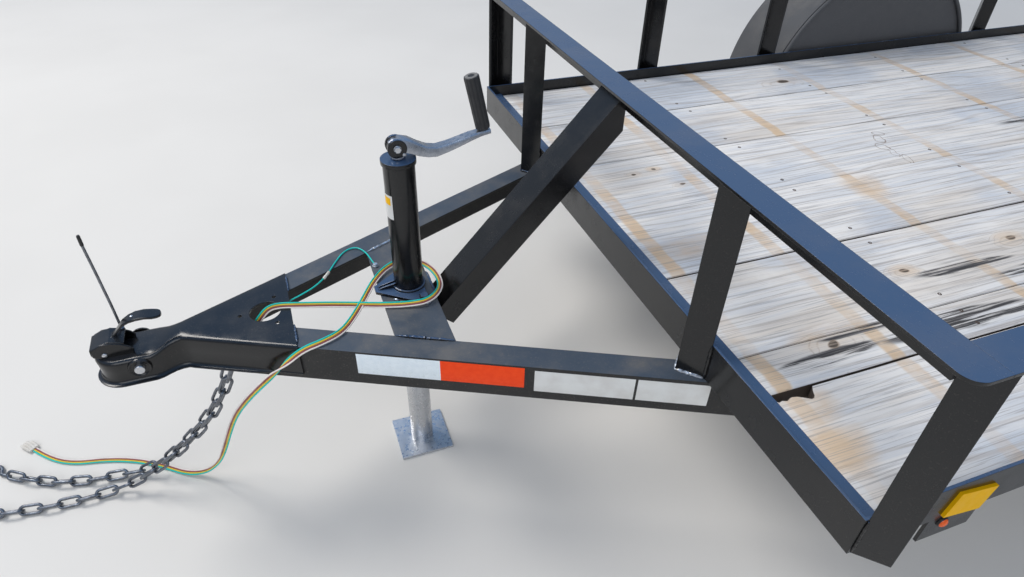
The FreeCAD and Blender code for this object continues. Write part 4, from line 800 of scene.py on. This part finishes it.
# The pivot bolt that goes across the nose, and the rivet of the latch
PIVOT_X = 915
PIVOT_Z = 422.6
RIVET_X = 965
RIVET_Z = 449
MAIN_HOLE_X = 693
MAIN_HOLE_RADIUS = 28.5
SMALL_HOLE_RADIUS = 3.8
SMALL_HOLES = ((738, 0), (674, 40), (674, -40))


def rise(x, start, length):
    """0 up to start, 1 from start plus length on, and straight between."""
    return min(1.0, max(0.0, (x - start) / length))


def coupler_stations():
    """(x, y, outward x, outward y, top z, lip) along the left edge, from the back round to the tip."""
    stations = []
    slope = 1 / math.sqrt(1 + TONGUE_SLOPE ** 2)
    for step in range(25):
        x = COUPLER_BACK + (NOSE_START - COUPLER_BACK) * step / 24
        y = TONGUE_HALF_WIDTH + PLATE_ACROSS - TONGUE_SLOPE * x
        if x > 800:
            y = max(y, WAIST_HALF + (NOSE_RADIUS - 0.4 - WAIST_HALF) * soft(rise(x, 852, 44)))
        top = COUPLER_TOP - (COUPLER_TOP - NOSE_TOP) * rise(x, SLOPE_END, 52) ** 1.2
        out = (slope * TONGUE_SLOPE, slope) if 0 < step and x < SLOPE_END else (0.0, 1.0)
        stations.append((x, y, *out, top, LIP * rise(x, 690, 40)))
    for step in range(14):
        a = math.radians(90 * step / 13)
        x = BALL_X + NOSE_RADIUS * math.sin(a)
        stations.append((x, NOSE_RADIUS * math.cos(a), math.sin(a), math.cos(a), NOSE_TOP, LIP))
    return stations


def coupler_section(station, side):
    """Places down one side of the shell, from beside the middle of the top to the lip's edge."""
    x, y, out_x, out_y, top, lip = station
    shoulder = 8.0
    flare = 7.0
    dome = 1.4
    base = COUPLER_LOW + 2.4
    places = []

    def put(outwards, z, share=1.0):
        places.append((x + out_x * outwards, side * max(y + out_y * outwards, 0.0) * share, z))

    put(-shoulder, top - 0.1 * dome, 0.34)
    put(-shoulder, top - 0.4 * dome, 0.72)
    for step in range(5):
        a = math.radians(90 * step / 4)
        put(-shoulder + shoulder * math.sin(a), top - dome - shoulder + shoulder * math.cos(a))
    put(-1.6, (top + COUPLER_LOW) / 2)
    for step in range(4):
        a = math.radians(90 * step / 3)
        drop = flare * (1 - math.sin(a)) * (0.4 + 0.6 * lip / LIP)
        put(-1.6 + flare * (1 - math.cos(a)) * (lip / LIP), base + drop)
    put(lip - 0.4, base - 0.2)
    put(lip - 0.6, COUPLER_LOW)
    return places


def make_coupler():
    """The pressed shell from the tongue to the nose, with its holes."""
    rows = []
    for station in coupler_stations():
        left = coupler_section(station, 1)
        right = coupler_section(station, -1)
        middle = (station[0] - 8.0 * station[2], 0, station[4])
        rows.append(list(reversed(right)) + [middle] + left)
    shell = Build().skin(rows, closed=False, capped=False).piece(
        "coupler_shell", "coupler_paint", slot="black_paint", replaces=("coupler_body",),
        smooth=SHELL_SMOOTH)
    thick = shell.modifiers.new("thickness", "SOLIDIFY")
    thick.thickness = 0.0042
    thick.offset = -1
    cut_round(shell, (MAIN_HOLE_X, 0, 430), UP, MAIN_HOLE_RADIUS, 60, 56)
    for x, y in SMALL_HOLES:
        cut_round(shell, (x, y, 430), UP, SMALL_HOLE_RADIUS, 60, 20)
    cut_round(shell, (PIVOT_X, -80, PIVOT_Z), ACROSS, 6.3, 160, 20)
    apply_modifiers(shell)
    folded = ((0, 28.4), (0, 30.2), (1.2, 30.4), (1.6, 29.4), (1.2, 28.4))
    rim = Build().turned((MAIN_HOLE_X, 0, COUPLER_TOP - 2.2), UP, folded, 56, capped=False)
    rim.piece("coupler_hole_rim", "coupler_paint", slot="black_paint")


def cut_round(obj, place, direction, radius, length, sides):
    """A round hole through the object, cut when its modifiers are applied."""
    build = Build().turned(place, direction, ((0, radius), (length, radius)), sides)
    step = obj.modifiers.new("hole", "BOOLEAN")
    step.object = add_object("cutter", build.mesh("cutter"))
    step.solver = "EXACT"


def apply_modifiers(obj):
    """The mesh as its modifiers leave it, with the modifiers and their cutters gone."""
    shaped = obj.evaluated_get(bpy.context.evaluated_depsgraph_get())
    mesh = bpy.data.meshes.new_from_object(shaped)
    cutters = [step.object for step in obj.modifiers if step.type == "BOOLEAN"]
    obj.modifiers.clear()
    obj.data = mesh
    for cutter in cutters:
        bpy.data.objects.remove(cutter)
    mesh.shade_smooth()
    mesh.set_sharp_from_angle(angle=math.radians(SHELL_SMOOTH))


def strip_ring(x, z, outline):
    """An outline across a strip, from half of it as (half width, depth under z)."""
    left = [(x, half, z - deep) for half, deep in outline]
    return left + [(x, -y, z) for x, y, z in reversed(left)]


def make_latch():
    """The clamp's collar on the nose, with its finger lever, rivet, stop rod and pivot bolt."""
    build = Build()
    cheek = ((981, 464), (985, 458), (984, 447), (972, 441), (950, 437), (934, 432), (925, 436), (919, 443),
             (918, 451), (924, 458), (936, 466), (951, 471), (967, 471))
    for side in SIDES:
        build.plate([(x, side * 19.5, z) for x, z in cheek], (0, side * 3.5, 0), 0.9)
    cover = ((986, 452), (985.5, 462.5), (971, 469), (953, 474), (930, 467))
    build.skin([strip_ring(x, z, ((20, 0), (21, 1), (21, 3.4), (16, 3.6))) for x, z in cover])
    # (x, z, half width)
    lever = ((950, 472, 7), (943, 477, 7), (935, 486, 7.5), (926, 496, 9), (914, 503, 11), (902, 506, 12.5),
             (888, 506.5, 13), (876, 504, 13), (868, 503, 11.5), (863, 502.4, 8), (861.5, 502, 4))
    build.skin([strip_ring(x, z, ((half - 1.2, 0), (half, 1.6), (half, 4.4), (half - 1.6, 5)))
                for x, z, half in lever])
    build.turned((914, 0, 430), ACROSS, ((-24, 5), (24, 5)), 16)
    build.piece("latch_clamp", "coupler_paint", slot="black_paint", replaces=("coupler_latch",), smooth=25)

    bright = Build()
    dish = Build()
    for side in SIDES:
        away = (0, side, 0)
        bright.turned((RIVET_X, side * 23, RIVET_Z), away, ((0, 4.6), (1.6, 4.4), (2.6, 3), (3, 1)), 16)
        bright.turned((PIVOT_X, side * (NOSE_SIDE + 2), PIVOT_Z), away,
                      ((0, 8.8), (6.4, 8.8), (7.6, 8.2), (8.2, 6.6), (7.4, 4.0), (7.2, 1.0)), 24)
        dish.turned((PIVOT_X, side * NOSE_SIDE, PIVOT_Z), away,
                    ((0, 20), (3.6, 19.6), (5.4, 18.4), (5.2, 17.0), (2.6, 14.6), (2.0, 8)), 32)
    bright.turned((908, 0, 505.4), UP, ((-2, 2.6), (0, 2.6), (0.6, 1.6)), 12)
    bright.piece("latch_bolts", "zinc")
    dish.piece("latch_washers", "coupler_paint", slot="black_paint")

    line = ((935, -19, 462), (935.6, -18.8, 520), (937.4, -18.4, 590), (939.6, -18.2, 650))
    rod = Build().tube(line, 2.4, 12)
    rod.turned(line[0], UP, ((0, 4.8), (9, 4.8), (10, 3.2)), 14)
    rod.piece("latch_rod", "chain_steel")
    tip = Build().turned((939.5, -18.2, 648), UP, ((0, 2.5), (1, 3.0), (18, 2.9), (20, 2.2)), 14)
    tip.piece("latch_rod_tip", "black_plastic")


# Jack

HUB_X = JACK_X + 2
HUB_Z = 756


def make_crank():
    """A folded arm between two cheeks on the screw's head, and a loose ribbed grip."""
    arm = Build()
    # (x, top z, depth)
    spine = ((433, 766, 16), (426, 771, 22), (412, 773, 25), (398, 769, 25), (382, 759, 22),
             (366, 751, 18.5), (350, 748, 16.5), (330, 751, 14), (308, 756.5, 12), (288, 762, 10),
             (268, 766, 8.4), (250, 767.5, 6.5))
    wall = 2.4
    rings = []
    for x, z, deep in spine:
        half = 11.4 if x > 268 else 9.5
        rings.append(strip_ring(x, z, ((half - 2.6, 0), (half, 3), (half, deep), (half - wall, deep),
                                       (half - wall, wall + 1))))
    arm.skin(rings)
    arm.turned((JACK_X, 0, 736), UP, ((0, 13.4), (7, 13.4), (9, 11.4), (22, 11.0)), 28)
    arm.piece("crank_arm", "crank_zinc", "jack_crank", slot="zinc", replaces=("jack_crank",), smooth=45)
    hub = Build()
    bolts = Build()
    for side in SIDES:
        away = (0, side, 0)
        hub.turned((HUB_X, side * 11.4, HUB_Z), away, ((-4, 17), (1.4, 17), (2.2, 16.2)), 36)
        bolts.hexagon((HUB_X, side * 13.4, HUB_Z + 1), away, 11, 4.4, 6.6)
        bolts.turned((JACK_X - 9, side * 13.2, 744.6), away, ((0, 3.6), (1.4, 3.2), (2.0, 1.4)), 14)
    hub.turned((HUB_X, -11, HUB_Z), ACROSS, ((0, 15.5), (22, 15.5)), 36)
    hub.piece("crank_hub", "black_paint", "jack_crank")
    bolts.piece("crank_bolts", "zinc", "jack_crank")

    low, high = Vector((262, 0, 769)), Vector((283, 0, 866))
    ahead = (high - low).normalized()
    side, over = sides_of(ahead)
    ribs = 12
    rings = []
    for along, radius in ((0, 11.5), (2, 13.2), (96, 13.6), (98, 13.0), (98.6, 11.0)):
        ring = []
        for step in range(4 * ribs):
            a = math.tau * step / (4 * ribs)
            groove = 0.0 if step % 4 < 2 else 0.9
            ring.append(low + ahead * along + (radius - groove) * (math.cos(a) * side + math.sin(a) * over))
        rings.append(ring)
    grip = Build().skin(rings)
    grip.piece("crank_handle", "grip_plastic", "jack_crank", replaces=("jack_grip",), smooth=30)
    cap = Build()
    cap.turned(low + ahead * 98.2, ahead, ((0, 11.2), (0.8, 11.0), (1.0, 6.0), (-1.0, 5.4)), 28)
    cap.turned(low + ahead * -3, ahead, ((0, 7.0), (3, 7.0)), 20)
    cap.piece("crank_handle_end", "grip_end", "jack_crank", slot="grip_plastic")


FLANGE_TOP = 459.8
JACK_LABEL_RADIUS = 29.0


def make_jack_details():
    """Gussets, seam and cap ring on the jack's tube, its bolts and its blank label."""
    flange = Build()
    for side in SIDES:
        outline = [(JACK_X + 27, side * 3, FLANGE_TOP), (JACK_X + 62, side * 2, FLANGE_TOP),
                   (JACK_X + 56, side * 2, 464), (JACK_X + 28, side * 3, 470)]
        flange.plate(outline, (0, side * 4, 0), 0.6)
    turns = [math.tau * step / 40 for step in range(41)]
    seam = [(JACK_X + 30.6 * math.cos(a), 30.6 * math.sin(a), 461) for a in turns]
    flange.tube(seam, [3.0 + 0.35 * math.sin(2.7 * step) for step in range(41)], 8, capped=False)
    flange.turned((JACK_X, 0, 724.6), UP, ((0, 30.4), (2, 31.6), (7, 31.7), (9.2, 30.6), (9.6, 28.5)), 48,
                  capped=False)
    flange.piece("jack_gusset", "black_paint")
    bolts = Build()
    for side in SIDES:
        bolts.hexagon((JACK_X - 17, side * 57, FLANGE_TOP), UP, 17, 7.5, 10.5)
    bolts.piece("jack_bolts", "black_paint")

    label = Build()
    for low, high, first, last, raised, kind in ((622, 671, -16, 44, 0.0, 0), (651, 666, 0, 36, 0.2, 1)):
        radius = JACK_LABEL_RADIUS + raised
        turns = [math.radians(first + (last - first) * step / 10) for step in range(11)]
        rings = [[(JACK_X + radius * math.cos(a), radius * math.sin(a), z) for a in turns]
                 for z in (low, high)]
        label.skin(rings, closed=False, capped=False, kind=kind)
    label.piece("jack_label", ("paper", "yellow"), slot="white_plastic")


# Tape and labels on the near side of the tongue, as (back x, front x, low z, high z, look)
TONGUE_TAPE = ((417, 553, 402, 450, "white_tape"), (282, 417, 402, 450, "red_tape"),
               (108, 266, 396, 446, "paper"), (-8, 104, 396, 446, "paper"))


def make_tape():
    for number, (back, front, low, high, look) in enumerate(TONGUE_TAPE):
        build = Build()
        rings = []
        for step in range(9):
            x = back + (front - back) * step / 8
            y = tongue_y(x) + 0.25
            rings.append([(x, y, low), (x, y + 0.5, low + 0.6), (x, y + 0.5, high - 0.6), (x, y, high)])
        build.skin(rings, closed=False, capped=False)
        build.piece("tongue_tape_" + str(number), look, slot="white_plastic")


# Welds

FIRST_SEED = 10
BEAD_LUMPS = 0.22
POST_X = (-42, -533, -983, -1939, -2396.4)


def left_seams():
    """(start, end, radius, on which side it is left bare) of the beads on the left."""
    inner = TONGUE_RAIL_WIDTH * math.sqrt(1 + TONGUE_SLOPE ** 2)
    seams = [((37, 380, 455), (2, 415, 455), 3.6, 1), ((37, 380, 455), (2, 345, 455), 3.6, 1),
             ((378, tongue_y(378) - inner, 454.4), (476, tongue_y(476) - inner, 454.4), 3.2, -1),
             ((1.5, 344, 455), (1.5, 344, 528), 3.0, 0), ((1.5, 416, 455), (1.5, 416, 528), 3.0, 0),
             ((COUPLER_BACK - 1, 104, 456), (COUPLER_BACK - 1, 52, 456), 2.6, 0),
             ((2, 36, 806), (2, 20, 806), 3.0, 0)]
    y = FRAME_HALF + 1
    for x in POST_X:
        seams += [((edge, y, 458), (edge, y, 526), 2.6, 0) for edge in (x - 36, x + 36)]
        seams.append(((x - 30, y, RAIL_TOP - 52), (x + 30, y, RAIL_TOP - 52), 2.2, 0))
    return seams


def make_welds():
    """All weld beads, most of them painted over."""
    seams = []
    for side in SIDES:
        mirror = Vector((1, side, 1))
        seams += [(Vector(start) * mirror, Vector(end) * mirror, radius, bare == side)
                  for start, end, radius, bare in left_seams()]
    seams += [((JACK_X - 27, 68, 455.4), (JACK_X + 4, 62, 455.4), 3.4, True),
              ((JACK_X + 30, 42, 455.4), (JACK_X + 40, 36, 455.4), 2.6, True),
              ((374.5, -36, 452), (374.5, 36, 452), 3.4, False)]
    bright = Build()
    dark = Build()
    for seed, (start, end, radius, bare) in enumerate(seams, FIRST_SEED):
        (bright if bare else dark).bead(start, end, radius, seed)
    bright.piece("bare_welds", "bare_weld", slot="zinc")
    dark.piece("painted_welds", "black_paint")


# Wheels

AXLE_X = -1463.0
AXLE_Z = 343.0
WHEEL_Y = 889.0
TREAD_STEPS = 192
# (radius, distance from the tyre's middle), up one side wall and then over half of the tread
SIDE_WALL = ((186.0, 70.0), (190.5, 72.0), (207, 72.5), (209, 76), (216, 84), (232, 92), (262, 100),
             (286, 102.3), (304, 100.5), (312, 98.2), (320, 97), (328, 93), (335, 86), (339.6, 76))
HALF_TREAD = ((341.0, 70), (341.4, 50), (334, 48.6), (334, 42), (342, 40.6), (342.4, 21), (334, 19.6),
              (334, 13), (342.6, 11.6), (342.8, 0.0))
VALVE_PROFILE = ((0, 5.5), (10, 4.2), (14, 3.4), (34, 3.4), (35, 2.6))


def make_tyre(side, name, body, node):
    """A road tyre: ribs with cross grooves, rounded shoulders, side walls and bead."""
    axle = Vector((AXLE_X, side * WHEEL_Y, AXLE_Z))
    half = SIDE_WALL + HALF_TREAD
    profile = [(r, -y) for r, y in half] + [(r, y) for r, y in reversed(half[:-1])]
    build = Build()
    rings = []
    for step in range(TREAD_STEPS):
        a = math.tau * (step + 0.5 * (step % 2)) / TREAD_STEPS
        ring = []
        for radius, y in profile:
            turn = a + (0.012 * y / 70 if radius > 336 else 0.0)
            if step % 4 == 0 and radius > 338 and 22 < abs(y) < 90:
                radius -= 5.5
            ring.append(axle + Vector((math.sin(turn) * radius, y, math.cos(turn) * radius)))
        rings.append(ring)
    rings.append(rings[0])
    build.skin(rings, closed=False, capped=False)
    build.piece(name, "tyre", body, replaces=(node,), smooth=32)
    valve = Build().turned(axle + Vector((0, side * 30, 150)), (0, side, 0.45), VALVE_PROFILE, 12)
    valve.piece("valve_" + name, "black_plastic", body)


# Lamps and small pieces at the frame's corners

def make_lamp_rivets():
    """Rivets through the brackets of the lamps at the back."""
    rivets = Build()
    for side in SIDES:
        for y in (36, 68):
            place = (REAR_X + 5, side * (FRAME_HALF + y), 470)
            rivets.turned(place, -ALONG, ((0, 4.4), (4, 4.0), (5, 2.0)), 14)
    rivets.piece("lamp_rivets", "zinc")


def make_markers():
    """Round domed side lamps in rubber rings, on their brackets at the front corners."""
    low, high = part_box("marker_lamps")
    outer = high[1] * 1000
    x = (low[0] + high[0]) * 500 + ORIGIN_X
    z = (low[2] + high[2]) * 500
    radius = (high[2] - low[2]) * 500
    # (distance outwards, share of the radius)
    dome = ((0, 0.86), (3, 0.86), (5, 0.74), (6.6, 0.46), (7.2, 0.1))
    rubber = ((0, 1), (2.4, 1), (3.2, 0.93), (3.2, 0.85))
    lens = Build()
    ring = Build()
    for side in SIDES:
        for build, shares in ((lens, dome), (ring, rubber)):
            profile = [(along, radius * share) for along, share in shares]
            build.turned((x, side * (outer - 13), z), (0, side, 0), profile, 28)
    lens.piece("marker_lenses", "amber", replaces=("marker_lamps",))
    ring.piece("marker_rings", "black_plastic")


def dress_cad(special):
    """Every CAD node gets the material of its record slot, or its own."""
    slots = {row["node"]: row["material_slot"] for row in frame["record"]["subparts"]}
    for node, obj in frame["nodes"].items():
        obj.data.materials.clear()
        obj.data.materials.append(looks[special.get(node, slots[node])])


# Surroundings

FLOOR_REACH = 90000
WORLD_STRENGTH = 0.62


def make_floor():
    mesh = bpy.data.meshes.new("floor")
    corners = ((-1, -1), (1, -1), (1, 1), (-1, 1))
    mesh.from_pydata([at(x * FLOOR_REACH, y * FLOOR_REACH, 0) for x, y in corners], [], [(0, 1, 2, 3)])
    mesh.materials.append(floor_material())
    floor = add_object("floor", mesh)


def make_world():
    """Even pale light that turns blue upwards, more so in what gloss reflects."""
    s = Shader(bpy.data.worlds.new("studio"), "Background", "Generated")
    bpy.context.scene.world = s.owner
    upwards = s.add("ShaderNodeMapRange", {
        "Value": s.part(s.where, "Z"), "From Min": 0.10, "From Max": 0.75}).outputs["Result"]
    plain = s.mix(upwards, (0.84, 0.85, 0.86), (0.62, 0.70, 0.84))
    mirrored = s.mix(upwards, (0.62, 0.66, 0.72), (0.36, 0.66, 1.15))
    glossy = s.add("ShaderNodeLightPath").outputs["Is Glossy Ray"]
    s.set(Color=s.mix(glossy, plain, mirrored), Strength=WORLD_STRENGTH)


def make_lamps():
    """A warm key lamp and a weaker one on the camera's side, both wide and soft."""
    for name, place, aim, size, power, colour in (
            ("key", (4.0, -3.0, 6.5), (0.3, 0, 0.4), 3.0, 330, (1.0, 0.95, 0.88)),
            ("fill", (3.5, 5.0, 5.0), (0.5, 0, 0.4), 4.0, 110, (1.0, 0.98, 0.95))):
        lamp = bpy.data.lights.new(name, "AREA")
        lamp.size = size
        lamp.energy = power
        lamp.color = colour
        holder = add_object(name, lamp)
        holder.location = place
        holder.rotation_euler = (Vector(aim) - Vector(place)).to_track_quat("-Z", "Y").to_euler()


make_camera()
looks = make_materials()
make_harness()
make_ground_wire()
dress_cad({"fender_left": "dusty_paint", "fender_right": "dusty_paint",
           "tongue_cross_plate": "tongue_paint", "tongue_rail_left": "tongue_paint",
           "tongue_rail_right": "tongue_paint"})
make_floor()
make_world()
make_lamps()
make_chains()
make_deck()
make_screws()
make_coupler()
make_latch()
make_crank()
make_jack_details()
make_tape()
make_welds()
make_tyre(1, "tyre_tread_left", "wheel_left", "tyre_left")
make_tyre(-1, "tyre_tread_right", "wheel_right", "tyre_right")
make_lamp_rivets()
make_markers()
bpy.context.scene.view_settings.view_transform = "Standard"
